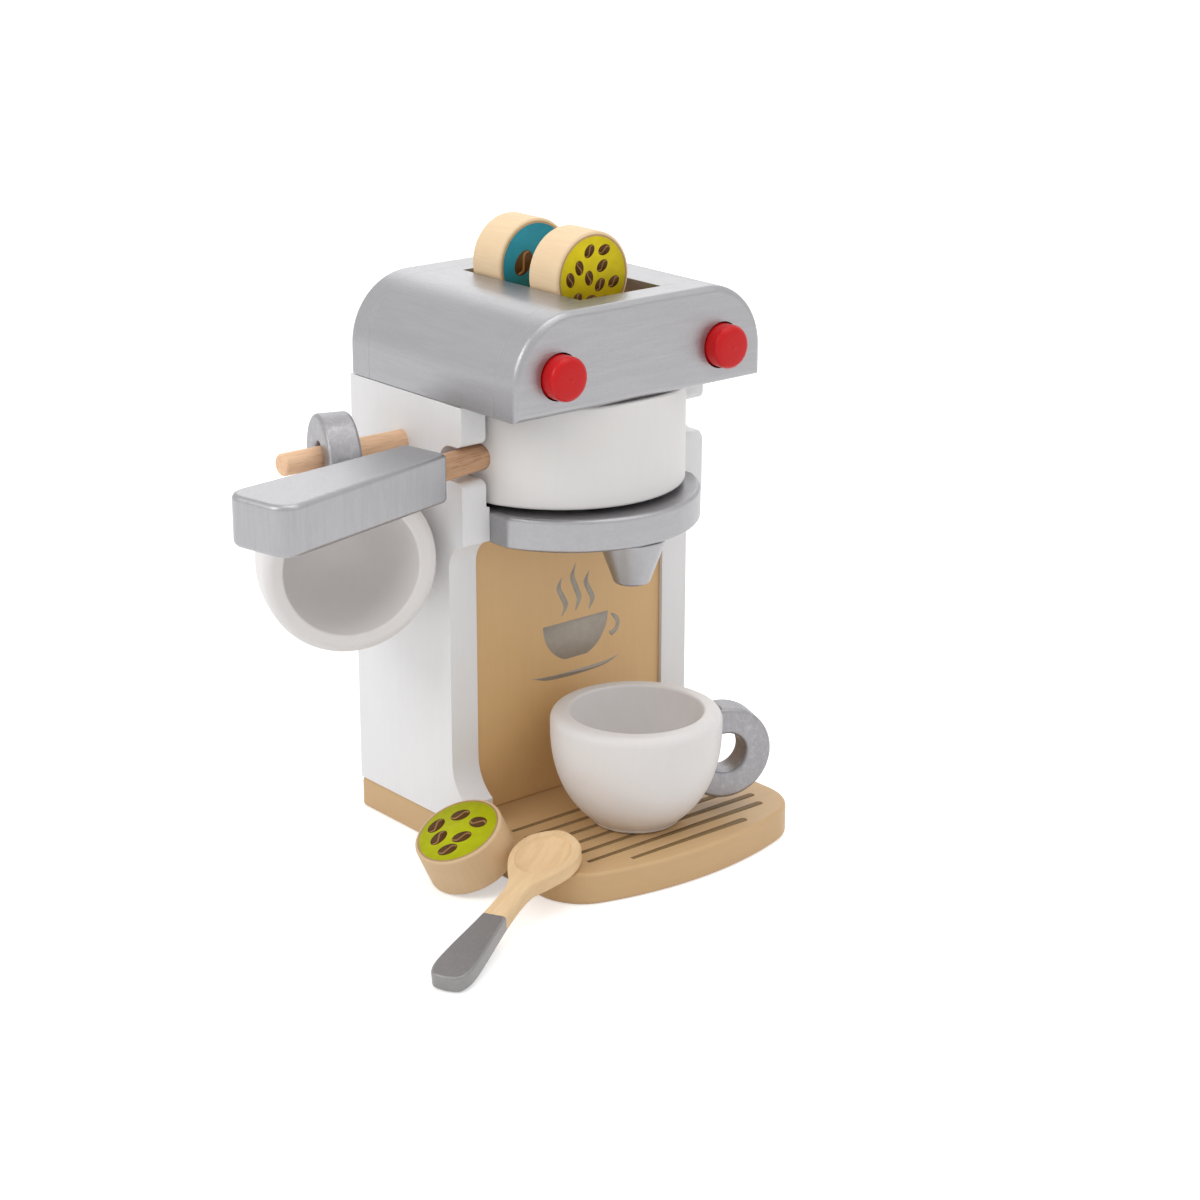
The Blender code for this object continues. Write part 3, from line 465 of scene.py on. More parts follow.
class Net:
    """Adds nodes to one tree and links them."""

    def __init__(self, tree: bpy.types.NodeTree) -> None:
        """Take over a tree.

        Args:
            tree: the node tree.
        """
        self.tree = tree

    def add(self, kind: str, **sockets: object) -> bpy.types.Node:
        """Add a node.

        Args:
            kind: the node's type.
            sockets: inputs by name, with _ for a space. An output socket is linked, anything else is a value.

        Returns:
            The node.
        """
        node = self.tree.nodes.new(kind)
        for name, value in sockets.items():
            self.feed(node.inputs[name.replace("_", " ")], value)
        return node

    def feed(self, socket: bpy.types.NodeSocket, value: object) -> None:
        """Link an output to a socket, or set the socket's value."""
        if isinstance(value, bpy.types.NodeSocket):
            self.tree.links.new(value, socket)
        else:
            socket.default_value = value

    def noise(
        self, vector: object, scale: object, detail: float = 3.0, rough: float = 0.55
    ) -> bpy.types.NodeSocket:
        """Return the value of a 3-D noise."""
        node = self.add("ShaderNodeTexNoise", Vector=vector, Scale=scale, Detail=detail, Roughness=rough)
        return node.outputs[0]

    def math(self, operation: str, first: object, second: object = 0.0) -> bpy.types.NodeSocket:
        """Return the result of a Math node."""
        node = self.tree.nodes.new("ShaderNodeMath")
        node.operation = operation
        self.feed(node.inputs[0], first)
        self.feed(node.inputs[1], second)
        return node.outputs[0]

    def span(
        self, value: object, low: float, high: float, to_low: float = 0.0, to_high: float = 1.0
    ) -> bpy.types.NodeSocket:
        """Return a value mapped from one range to another, held inside it."""
        node = self.tree.nodes.new("ShaderNodeMapRange")
        for socket, number in zip(node.inputs, (value, low, high, to_low, to_high)):
            self.feed(socket, number)
        return node.outputs[0]

    def mix(self, share: object, first: object, second: object) -> bpy.types.NodeSocket:
        """Return a mix of two colours."""
        node = self.tree.nodes.new("ShaderNodeMix")
        node.data_type = "RGBA"
        self.feed(node.inputs[0], share)
        self.feed(node.inputs[6], first)
        self.feed(node.inputs[7], second)
        return node.outputs[2]

    def bump(
        self, height: object, strength: float, normal: object = None, distance: float = RELIEF
    ) -> bpy.types.NodeSocket:
        """Return the normal of a relief."""
        node = self.add("ShaderNodeBump", Height=height, Strength=strength, Distance=distance)
        if normal is not None:
            self.feed(node.inputs["Normal"], normal)
        return node.outputs[0]

    def seen(self) -> bpy.types.NodeSocket:
        """Return 1 for the camera's rays, also by way of a mirror or a clear pane, and 0 for others."""
        path = self.add("ShaderNodeLightPath")
        seen = self.math("MAXIMUM", path.outputs["Is Camera Ray"], path.outputs["Is Glossy Ray"])
        return self.math("MAXIMUM", seen, path.outputs["Is Transmission Ray"])

    def effect(self, kind: Effect, *values: object) -> bpy.types.NodeOutputs:
        """Add a shared group.

        Args:
            kind: which effect.
            values: the vector and the group's own numbers, in the order of its inputs.

        Returns:
            The group's outputs.
        """
        node = self.add("ShaderNodeGroup")
        node.node_tree = effect(kind)
        for socket, value in zip(node.inputs, values, strict=True):
            self.feed(socket, value)
        return node.outputs


def effect(kind: Effect) -> bpy.types.NodeTree:
    """Return a shared shader group, and build it the first time.

    Args:
        kind: which effect.

    Returns:
        The node group.
    """
    if kind.value in bpy.data.node_groups:
        return bpy.data.node_groups[kind.value]
    group = bpy.data.node_groups.new(kind.value, "ShaderNodeTree")
    inputs = {
        Effect.GRAIN: (("Fine Scale", 1400.0), ("Broad Scale", 160.0)),
        Effect.PEEL: (("Peel Scale", 1500.0), ("Mottle Scale", 60.0)),
        Effect.FLECKS: (("Scale", 500.0), ("Amount", 0.3)),
        Effect.RUB: (("Scale", 220.0), ("Amount", 0.5)),
    }[kind]
    outputs = {
        Effect.GRAIN: ("Tone", "Relief"),
        Effect.PEEL: ("Mottle", "Relief"),
        Effect.FLECKS: ("Fleck",),
        Effect.RUB: ("Mask",),
    }[kind]
    group.interface.new_socket("Vector", in_out="INPUT", socket_type="NodeSocketVector")
    for name, value in inputs:
        socket = group.interface.new_socket(name, in_out="INPUT", socket_type="NodeSocketFloat")
        socket.default_value = value
    for name in outputs:
        group.interface.new_socket(name, in_out="OUTPUT", socket_type="NodeSocketFloat")
    net = Net(group)
    given = group.nodes.new("NodeGroupInput").outputs
    ends = group.nodes.new("NodeGroupOutput").inputs
    if kind is Effect.GRAIN:
        fine = net.noise(given["Vector"], given["Fine Scale"], 5.0, 0.7)
        broad = net.noise(given["Vector"], given["Broad Scale"], 3.0, 0.55)
        rings = net.math("SINE", net.math("MULTIPLY", broad, 38.0))
        tone = net.math("ADD", net.math("MULTIPLY", fine, 0.7), net.math("MULTIPLY", rings, 0.12))
        net.feed(ends["Tone"], net.span(tone, 0.2, 0.55))
        net.feed(ends["Relief"], net.span(fine, 0.3, 0.7))
    elif kind is Effect.PEEL:
        net.feed(ends["Mottle"], net.span(net.noise(given["Vector"], given["Mottle Scale"], 4.0), 0.3, 0.7))
        net.feed(ends["Relief"], net.noise(given["Vector"], given["Peel Scale"], 2.0, 0.4))
    elif kind is Effect.FLECKS:
        cells = net.add("ShaderNodeTexVoronoi", Vector=given["Vector"], Scale=given["Scale"])
        small = net.math("LESS_THAN", cells.outputs["Distance"], given["Amount"])
        net.feed(ends["Fleck"], small)
    else:
        rub = net.noise(given["Vector"], given["Scale"], 6.0, 0.65)
        net.feed(ends["Mask"], net.math("MULTIPLY", net.span(rub, 0.5, 0.75), given["Amount"]))
    return group


@dataclass(frozen=True)
class Grain:
    """How the wood of a piece runs.

    Attributes:
        frame: where the piece's wood lies; its X runs along the grain.
        stretch: how many times longer a streak is than it is wide.
    """

    frame: Matrix
    stretch: float = 14.0

    def vector(self, net: Net) -> bpy.types.NodeSocket:
        """Return the piece's own coordinates, drawn out along the grain.

        Args:
            net: the material's net.

        Returns:
            The vector socket.
        """
        node = net.add("ShaderNodeMapping", Vector=net.add("ShaderNodeTexCoord").outputs["Object"])
        node.vector_type = "TEXTURE"
        node.inputs["Location"].default_value = self.frame.to_translation()
        node.inputs["Rotation"].default_value = self.frame.to_euler()
        node.inputs["Scale"].default_value = (self.stretch, 1.0, 1.0)
        return node.outputs[0]


def along(axis: Sequence[float], centre: Sequence[float] = (0.0, 0.0, 0.0)) -> Matrix:
    """Return a frame whose X runs along an axis.

    Args:
        axis: the grain's direction.
        centre: the frame's place.

    Returns:
        The frame.
    """
    turn = Vector((1.0, 0.0, 0.0)).rotation_difference(Vector(axis)).to_matrix().to_4x4()
    return Matrix.Translation(centre) @ turn


@dataclass(frozen=True)
class Finish:
    """The part that every finish shares: a named material with one Principled shader."""

    name: str
    colour: Colour

    def start(self, label: str) -> tuple[bpy.types.Material, Net, bpy.types.Node]:
        """Make the bare material.

        Args:
            label: what the material is for.

        Returns:
            The material, its net and its shader.
        """
        material = bpy.data.materials.new(f"{label} {self.name}")
        material.use_nodes = True
        material.diffuse_color = (*self.colour, 1.0)
        return material, Net(material.node_tree), material.node_tree.nodes["Principled BSDF"]

    def shade(self, factor: float) -> tuple[float, float, float, float]:
        """Return the colour made lighter or darker."""
        return (*(min(c * factor, 1.0) for c in self.colour), 1.0)


@dataclass(frozen=True)
class Paint(Finish):
    """Sprayed paint on wood, through which some of the grain still shows."""

    roughness: float = 0.45
    metallic: float = 0.0
    coat: float = 0.0
    grain_colour: float = 0.03
    grain_relief: float = 0.10
    peel_relief: float = 0.12
    mottle: float = 0.02
    specular: float = 0.5
    flake: float = 0.0
    rub: float = 0.0

    def material(self, label: str, grain: Grain) -> bpy.types.Material:
        """Build the material for one piece.

        Args:
            label: the piece's name.
            grain: how its wood runs.

        Returns:
            The material.
        """
        material, net, shader = self.start(label)
        vector = grain.vector(net)
        plain = net.add("ShaderNodeTexCoord").outputs["Object"]
        wood = net.effect(Effect.GRAIN, vector, 1700.0, 130.0)
        skin = net.effect(Effect.PEEL, plain, 1300.0, 45.0)
        streak, cloud = self.grain_colour, self.mottle
        streaked = net.mix(wood["Tone"], self.shade(1 - streak), self.shade(1 + streak))
        clouded = net.mix(skin["Mottle"], self.shade(1 - cloud), self.shade(1 + cloud))
        colour = net.mix(0.5, streaked, clouded)
        if self.flake:
            flakes = net.effect(Effect.PEEL, plain, 3600.0, 1900.0)
            share = net.math("MULTIPLY", flakes["Mottle"], self.flake)
            colour = net.mix(share, colour, self.shade(1.45))
        if self.rub:
            worn = net.effect(Effect.RUB, plain, 420.0, self.rub)
            colour = net.mix(worn["Mask"], colour, self.shade(1.7))
        net.feed(shader.inputs["Base Color"], colour)
        rough, smooth = self.roughness + 0.05, self.roughness - 0.05
        net.feed(shader.inputs["Roughness"], net.span(wood["Relief"], 0.0, 1.0, rough, smooth))
        shader.inputs["Metallic"].default_value = self.metallic
        shader.inputs["Specular IOR Level"].default_value = self.specular
        shader.inputs["Coat Weight"].default_value = self.coat
        shader.inputs["Coat Roughness"].default_value = 0.12
        peel = net.bump(skin["Relief"], self.peel_relief)
        net.feed(shader.inputs["Normal"], net.bump(wood["Relief"], self.grain_relief, peel))
        return material


@dataclass(frozen=True)
class Timber(Finish):
    """Bare sanded wood with streaks, and ray flecks in beech."""

    dark: Colour = (0.5, 0.3, 0.15)
    flecks: float = 0.0
    streak: float = 0.5
    fine: float = 1200.0
    broad: float = 110.0

    def material(self, label: str, grain: Grain) -> bpy.types.Material:
        """Build the material for one piece.

        Args:
            label: the piece's name.
            grain: how its wood runs.

        Returns:
            The material.
        """
        material, net, shader = self.start(label)
        colour, relief = self.colours(net, grain)
        net.feed(shader.inputs["Base Color"], colour)
        net.feed(shader.inputs["Roughness"], net.span(relief, 0.0, 1.0, 0.68, 0.55))
        net.feed(shader.inputs["Normal"], net.bump(relief, WOOD_BUMP))
        return material

    def colours(self, net: Net, grain: Grain) -> tuple[bpy.types.NodeSocket, bpy.types.NodeSocket]:
        """Add the wood's nodes to a net.

        Args:
            net: the material's net.
            grain: how the wood runs.

        Returns:
            The colour and the relief.
        """
        vector = grain.vector(net)
        wood = net.effect(Effect.GRAIN, vector, self.fine, self.broad)
        share = net.span(wood["Tone"], 0.0, 1.0, self.streak, 0.0)
        colour = net.mix(share, (*self.colour, 1.0), (*self.dark, 1.0))
        if self.flecks:
            rays = net.effect(Effect.FLECKS, vector, 1500.0, 0.28)
            share = net.math("MULTIPLY", rays["Fleck"], self.flecks)
            colour = net.mix(share, colour, (*self.dark, 1.0))
        return colour, wood["Relief"]


@dataclass(frozen=True)
class Ink(Finish):
    """Printed ink, a little uneven, as thin as the print."""

    def material(self, label: str, grain: Grain) -> bpy.types.Material:
        """Return the ink's one material, and build it for the first print.

        Args:
            label: what the first print is for.
            grain: how the wood under the print runs; not used, as the ink hides it.

        Returns:
            The material.
        """
        if self.name in bpy.data.materials:
            return bpy.data.materials[self.name]
        material, net, shader = self.start(label)
        material.name = self.name
        plain = net.add("ShaderNodeTexCoord").outputs["Object"]
        skin = net.effect(Effect.PEEL, plain, 2600.0, 300.0)
        colour = net.mix(skin["Mottle"], self.shade(0.93), self.shade(1.07))
        net.feed(shader.inputs["Base Color"], colour)
        net.feed(shader.inputs["Roughness"], net.span(skin["Relief"], 0.2, 0.8, 0.48, 0.6))
        shader.inputs["Specular IOR Level"].default_value = 0.12
        relief = net.bump(skin["Relief"], INK_BUMP, distance=INK_RELIEF)
        net.feed(shader.inputs["Normal"], relief)
        return material


@dataclass(frozen=True)
class DippedTimber(Finish):
    """Bare wood whose lower end was dipped in paint."""

    timber: Timber
    paint: Paint
    depth: float

    def material(self, label: str, grain: Grain) -> bpy.types.Material:
        """Build the material for one piece, with the paint at the frame's origin end.

        Args:
            label: the piece's name.
            grain: how its wood runs, from the dipped end.

        Returns:
            The material.
        """
        material, net, shader = self.start(label)
        wood, relief = self.timber.colours(net, grain)
        plain = Grain(grain.frame, 1.0).vector(net)
        place = net.add("ShaderNodeSeparateXYZ", Vector=plain).outputs[0]
        ragged = net.math("ADD", place, net.math("MULTIPLY", net.noise(plain, 500.0), 0.0006))
        dipped = net.math("LESS_THAN", ragged, self.depth + 0.0003)
        worn = net.effect(Effect.RUB, plain, 700.0, 0.5)
        painted = net.mix(worn["Mask"], self.paint.shade(1.0), self.paint.shade(1.3))
        net.feed(shader.inputs["Base Color"], net.mix(dipped, wood, painted))
        net.feed(shader.inputs["Metallic"], net.math("MULTIPLY", dipped, self.paint.metallic))
        net.feed(shader.inputs["Roughness"], net.span(dipped, 0.0, 1.0, 0.62, self.paint.roughness))
        net.feed(shader.inputs["Normal"], net.bump(relief, WOOD_BUMP))
        return material


WHITE = Paint("white paint", (0.84, 0.835, 0.84), roughness=0.42, grain_colour=0.015, grain_relief=0.07)
WARM_WHITE = Paint(
    "warm white paint", (0.80, 0.78, 0.765), roughness=0.42, grain_colour=0.01, grain_relief=0.04
)
CUP_WHITE = Paint(
    "cup white paint", (0.80, 0.772, 0.76), roughness=0.45, grain_colour=0.012, grain_relief=0.05
)
SILVER = Paint(
    "silver paint",
    (0.372, 0.369, 0.381),
    roughness=0.34,
    metallic=0.85,
    grain_colour=0.06,
    grain_relief=0.14,
    mottle=0.02,
    flake=0.15,
)
RING_SILVER = Paint(
    "ring silver paint",
    (0.31, 0.303, 0.315),
    roughness=0.40,
    metallic=0.7,
    grain_colour=0.08,
    grain_relief=0.2,
    mottle=0.05,
    flake=0.3,
    rub=0.5,
)
TAN = Paint("tan paint", (0.62, 0.405, 0.20), roughness=0.45, grain_colour=0.03, mottle=0.03)
GOLD = Paint("gold paint", (0.72, 0.46, 0.21), roughness=0.42, grain_colour=0.02, mottle=0.02)
RED = Paint(
    "red gloss",
    (0.62, 0.008, 0.010),
    roughness=0.30,
    coat=0.08,
    grain_colour=0.02,
    grain_relief=0.03,
    peel_relief=0.05,
    specular=0.2,
)
STEEL = Paint(
    "spring steel", (0.55, 0.55, 0.56), roughness=0.28, metallic=1.0, grain_colour=0.08, grain_relief=0.05
)
BEECH = Timber("beech", (0.82, 0.52, 0.32), dark=(0.46, 0.24, 0.12), flecks=0.5, streak=0.35)
# A darker copy of the beech for the handle dowel: partly deeper brown wood, partly painted shade from the
# notch that the dowel sits in.
SHADED_DEEP_BEECH = Timber("dark beech", (0.68, 0.40, 0.23), dark=(0.36, 0.18, 0.09), flecks=0.5, streak=0.4)
BIRCH = Timber("birch", (0.86, 0.62, 0.36), dark=(0.62, 0.38, 0.18), streak=0.28)
POD_BIRCH = Timber("pod birch", (0.90, 0.68, 0.43), dark=(0.70, 0.46, 0.24), streak=0.16)
# A darker copy of the pod birch for the leaning green pod: partly tan wood, partly painted shade on a pod
# that faces down towards the floor.
SHADED_TAN_BIRCH = Timber("plain birch", (0.70, 0.50, 0.295), dark=(0.55, 0.37, 0.19), streak=0.14)
PALE_BEECH = Timber("pale beech", (0.95, 0.62, 0.39), dark=(0.58, 0.33, 0.18), flecks=0.4, streak=0.3)
GREY_DIP = Paint("grey dip", (0.27, 0.26, 0.26), roughness=0.33, metallic=0.5)
POD_RIM = Ink("pod rim brown", (0.50, 0.32, 0.15))
STRIPE = Ink("stripe ink", (0.24, 0.155, 0.07))
PICTURE = Ink("picture ink", (0.46, 0.41, 0.35))
YELLOW = Ink("yellow ink", (0.70, 0.56, 0.012))
TEAL = Ink("teal ink", (0.028, 0.25, 0.32))
GREEN = Ink("green ink", (0.48, 0.505, 0.004))
BEAN = Ink("bean ink", (0.105, 0.046, 0.010))
BEAN_LINE = Ink("bean line ink", (0.36, 0.19, 0.075))


class Slot(Enum):
    """The record's material slots."""

    WHITE = "white_paint"
    SILVER = "silver_paint"
    TAN = "tan_paint"
    GOLD = "gold_paint"
    BEECH = "beech"
    BIRCH = "birch"
    RED = "red_gloss"
    STEEL = "spring_steel"


def dress(
    piece: bpy.types.Object,
    body: str,
    finish: Paint | Timber | Ink | DippedTimber,
    grain: Grain,
    node: str | None = None,
) -> bpy.types.Object:
    """Give a piece its finish, its body and the node that it stands for.

    Args:
        piece: the piece, in place.
        body: the body that it rides on.
        finish: its finish.
        grain: how its wood runs.
        node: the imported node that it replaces, if any.

    Returns:
        The piece.
    """
    piece.data.materials.clear()
    piece.data.materials.append(finish.material(piece.name, grain))
    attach(piece, body)
    if node is not None:
        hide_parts(node)
    LOG.info("%s: %s on %s, %d faces", piece.name, finish.name, body, len(piece.data.polygons))
    return piece


def print_on(
    drawing: Pen, name: str, body: str, ink: Ink, place: Matrix, lift: int = 1
) -> bpy.types.Object:
    """Print a shape as a film of ink.

    Args:
        drawing: the shape's outline.
        name: the print's name.
        body: the body that it rides on.
        ink: its ink.
        place: the surface's frame; the print lies on its XY plane.
        lift: how many films deep it lies on other prints.

    Returns:
        The print.
    """
    middle = Matrix.Translation((0.0, 0.0, INK * (lift - 1) / 2))
    film = Stock.board(drawing, INK * (lift + 1)).placed(place @ middle)
    return dress(film.piece(name), body, ink, Grain(place, 1.0))


# Sub-assemblies


@dataclass
class Tray:
    """The base board, whose front end is the drip tray with its printed stripes."""

    half_width: float = 0.0565
    thickness: float = 0.012
    corner: float = 0.020
    bulge: float = 0.0057
    depth: float = 0.1335
    first_stripe: float = 0.0782
    pitch: float = 0.00765
    edge: float = 0.0015
    stripe_width: float = 0.003
    stripe_taper: float = 0.6
    stripe_ends: tuple[Point, ...] = (
        (-0.045, 0.0475),
        (-0.045, 0.0475),
        (-0.045, 0.0475),
        (-0.045, 0.0475),
        (-0.044, 0.0465),
        (-0.041, 0.0435),
        (-0.027, 0.0285),
    )

    def outline(self) -> Pen:
        """Return the board's outline: square back corners, round front ones and a shallow bow."""
        inside = self.half_width - self.corner
        inner = inside**2 / (2 * self.bulge) + self.bulge / 2
        middle = forward(self.depth) + inner + self.corner
        centre_y = middle - math.sqrt(inner**2 - inside**2)
        lean = math.atan2(middle - centre_y, inside)
        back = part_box("base_board")[1].y
        pen = Pen(-self.half_width, back).line(-self.half_width, centre_y)
        pen.arc(-inside, centre_y, lean).arc(0.0, middle, 2 * (SQUARE - lean)).arc(inside, centre_y, lean)
        return pen.line(self.half_width, back)

    def build(self) -> None:
        """Build the board and print the stripes."""
        board = Stock.board(self.outline(), self.thickness).ease(self.edge, 4)
        board.placed(Matrix.Translation((0.0, 0.0, self.thickness / 2)))
        grain = Grain(along((1.0, 0.0, 0.0)))
        dress(soften(board.piece("tray_board"), 0.0), "stand", TAN, grain, "base_board")
        half = self.stripe_width / 2
        for i, (left, right) in enumerate(self.stripe_ends):
            place = Matrix.Translation((0.0, forward(self.first_stripe + i * self.pitch), self.thickness))
            pen = Pen(left, -half * self.stripe_taper).line(right - half, -half)
            pen.arc(right - half, 0.0, math.pi).line(left, half * self.stripe_taper)
            print_on(pen, f"tray_stripe_{i + 1}", "stand", STRIPE, place)


@dataclass
class Walls:
    """The two side panels, the front panel with its picture, and the back panel."""

    half_width: float = 0.0565
    thickness: float = 0.012
    bottom: float = 0.012
    top: float = 0.170
    column: float = 0.058
    nose: float = 0.0663
    toe_top: float = 0.0212
    toe_arc_top: float = 0.0352
    notch_bottom: float = 0.1427
    notch_top: float = 0.1553
    notch_back: float = 0.0535
    notch_corner: float = 0.003
    nose_arc_top: float = 0.1198
    nose_arc_bottom: float = 0.1097
    pocket_radius: float = 0.048
    pocket_bottom: float = 0.1323
    head_axis: float = 0.0522
    peg_bore: float = 0.0041
    peg_seat: float = 0.0083
    peg_back: float = 0.031
    peg_height: float = 0.1513
    front_depth: float = 0.0565
    front_thickness: float = 0.009
    back_thickness: float = 0.0055
    edge: float = 0.001
    fine_edge: float = 0.0005
    picture_side: float = 0.003
    picture_height: float = 0.0717
    plate_bottom: float = 0.1187

    def outline(self) -> Pen:
        """Return a side panel's outline in (y, z): toe, hollow column, nose, open notch and top block."""
        foot = self.bottom + SEAM
        front, column, reach = forward(self.nose), forward(self.column), self.nose - self.column
        soft = self.notch_corner
        pen = Pen(forward(0.0), foot).line(forward(0.0), self.top).line(front, self.top)
        pen.line(front, self.notch_top + soft).arc(front + soft, self.notch_top + soft, SQUARE)
        radius = (self.notch_top - self.notch_bottom) / 2
        end = forward(self.notch_back) - radius
        pen.line(end, self.notch_top).arc(end, self.notch_top - radius, -math.pi)
        pen.line(front + soft, self.notch_bottom).arc(front + soft, self.notch_bottom - soft, SQUARE)
        pen.line(front, self.nose_arc_top)
        for height, low, rising in (
            (self.nose_arc_top - self.nose_arc_bottom, self.nose_arc_bottom, True),
            (self.toe_arc_top - self.toe_top, self.toe_arc_top, False),
        ):
            radius = (reach**2 + height**2) / (2 * reach)
            sweep = math.asin(height / radius)
            if rising:
                pen.arc(column - radius, low, -sweep)
            else:
                pen.line(column, low).arc(column - radius, low, -sweep)
        return pen.line(front, foot)

    def build(self) -> None:
        """Build the four panels and print the picture."""
        for side, word in ((-1.0, "left"), (1.0, "right")):
            middle = side * (self.half_width - self.thickness / 2)
            board = Stock.board(self.outline(), self.thickness)
            board.placed(Matrix.Translation((middle, 0.0, 0.0)) @ Facing.SIDE.matrix())
            pocket = Stock.rod(self.pocket_radius, LONG_DRILL, 160)
            place = Matrix.Translation((0.0, forward(self.head_axis), self.pocket_bottom))
            cutters = [pocket.placed(place)]
            if side < 0:
                start = self.peg_seat - self.half_width - DRILL
                place = Matrix.Translation((start, forward(self.peg_back), self.peg_height))
                bore = Stock.rod(self.peg_bore, DRILL, 48)
                cutters.append(bore.placed(place @ Facing.SIDE.matrix()))
            panel = soften(carve(board.piece(f"{word}_wall"), *cutters), self.edge)
            dress(panel, "stand", WHITE, Grain(along((0.0, 0.0, 1.0))), f"{word}_side_panel")
        half = self.half_width - self.thickness - SEAM
        face = forward(self.front_depth)
        foot = self.bottom + SEAM
        high = (half, face + self.front_thickness, self.plate_bottom - SEAM)
        front = Stock.block((-half, face, foot), high)
        grain = Grain(along((0.0, 0.0, 1.0)))
        dress(soften(front.piece("gold_wall"), self.fine_edge), "stand", GOLD, grain, "front_panel")
        back = Stock.block((-half, forward(self.back_thickness), foot), (half, forward(0.0), self.top))
        dress(soften(back.piece("back_wall"), self.fine_edge), "stand", WHITE, grain, "back_panel")
        place = Matrix.Translation((self.picture_side, face, self.picture_height))
        Picture(place @ Facing.FRONT.matrix()).build()


@dataclass
class Picture:
    """A plain printed picture of a steaming cup on a saucer."""

    place: Matrix
    bowl_radius: float = 0.0125
    rim: float = 0.0045
    size: float = 1.25
    bowl_turn: float = SQUARE * 0.78
    ear_side: float = 0.0012
    ear_top: float = 0.0012
    ear_drop: float = 0.0047
    ear_inner_side: float = 0.0004
    ear_inner_foot: float = 0.0066
    ear_turn: float = math.pi * 0.92
    saucer_under: tuple[Point, ...] = (
        (-0.0175, -0.0150),
        (-0.009, -0.0172),
        (0.009, -0.0172),
        (0.0175, -0.0150),
    )
    saucer_over: tuple[Point, ...] = (
        (0.0175, -0.0150),
        (0.009, -0.0159),
        (-0.009, -0.0159),
        (-0.0174, -0.0150),
    )
    wisps: tuple[tuple[float, float, float], ...] = (
        (-0.0052, 0.0022, 0.0142),
        (0.0, 0.0028, 0.0175),
        (0.0052, 0.0022, 0.0142),
    )
    sway: tuple[float, ...] = (0.0, 0.0013, 0.0, -0.0013, 0.0)
    breadth: tuple[float, ...] = (0.0002, 0.0009, 0.0010, 0.0008, 0.0001)

    def build(self) -> None:
        """Print the bowl, the handle, the saucer and the steam."""
        r, z = self.bowl_radius, self.rim
        bowl = Pen(-r, z).arc(0.0, z, self.bowl_turn)
        left = bowl.tip.co.copy()
        bowl.line(-left.x, left.y).arc(0.0, z, self.bowl_turn)
        self.print(bowl, "picture_bowl")
        x, y = r + self.ear_side, z - self.ear_drop
        ear = Pen(x, z - self.ear_top).arc(x, y, -math.pi)
        ear.line(r + self.ear_inner_side, z - self.ear_inner_foot).arc(x, y, self.ear_turn)
        self.print(ear, "picture_ear")
        under = [(x, z + y) for x, y in self.saucer_under]
        over = [(x, z + y) for x, y in self.saucer_over]
        self.print(Pen(*under[0]).curve(under).curve(over), "picture_saucer")
        for i, (x, low, high) in enumerate(self.wisps):
            start, end = z + low, z + high
            spots = [start + (end - start) * k / 4 for k in range(5)]
            right = [(x + s + w, y) for s, w, y in zip(self.sway, self.breadth, spots)]
            back = [(x + s - w, y) for s, w, y in zip(self.sway, self.breadth, spots)][::-1]
            wisp = Pen(*right[0]).curve(right).line(*back[0]).curve(back)
            self.print(wisp, f"picture_steam_{i + 1}")

    def print(self, drawing: Pen, name: str) -> None:
        """Print one part of the picture."""
        place = self.place @ Matrix.Diagonal((self.size, self.size, 1.0, 1.0))
        print_on(drawing, name, "stand", PICTURE, place)


@dataclass
class BrewPlate:
    """The round-fronted plate under the drum, with the spout below it."""

    half_width: float = 0.04444
    bottom: float = 0.1187
    top: float = 0.1308
    arc_radius: float = 0.0479
    arc_centre: float = 0.0568
    spout_axis: float = 0.0918
    spout_top: float = 0.0122
    spout_tip: float = 0.0067
    spout_height: float = 0.0165
    spout_extra: float = 0.0003
    spout_soft: float = 0.0012
    tip_extra: float = 0.0002
    tongue_radius: float = 0.0045
    tongue_height: float = 0.005
    edge: float = 0.0016
    axle_forward: float = 0.0522
    axle_depth: float = 0.0073

    def build(self) -> None:
        """Build the plate and the spout."""
        meet = math.acos(self.half_width / self.arc_radius)
        y = forward(self.arc_centre)
        back = forward(0.0055 + SEAM)
        start = y - self.arc_radius * math.sin(meet)
        pen = Pen(self.half_width, back).line(-self.half_width, back).line(-self.half_width, start)
        pen.arc(0.0, y, math.pi - 2 * meet)
        thickness = self.top - self.bottom
        plate = Stock.board(pen, thickness).ease(self.edge, 4)
        plate.placed(Matrix.Translation((0.0, 0.0, self.bottom + thickness / 2)))
        place = Matrix.Translation((0.0, forward(self.axle_forward), self.top - self.axle_depth))
        seat = Stock.rod(AXLE_BORE, DRILL, 48).placed(place)
        piece = soften(carve(plate.piece("plate_board"), seat), 0.0)
        dress(piece, "stand", SILVER, Grain(along((1.0, 0.0, 0.0))), "brew_plate")
        soft = self.spout_soft
        low = self.bottom - self.spout_height - self.spout_extra
        high, under = self.bottom + self.tongue_height, self.bottom - SEAM
        pen = Pen(0.0, high).line(self.tongue_radius, high).line(self.tongue_radius, under)
        pen.line(self.spout_top, under).line(self.spout_top, self.bottom - soft)
        pen.line(self.spout_tip + self.tip_extra, low + soft)
        pen.arc(self.spout_tip - soft, low + soft, -SQUARE).line(0.0, low)
        spout = Stock.turned(pen, 64).placed(Matrix.Translation((0.0, forward(self.spout_axis), 0.0)))
        grain = Grain(along((0.0, 0.0, 1.0)))
        dress(soften(spout.piece("spout_cone"), 0.0006), "stand", SILVER, grain, "spout")


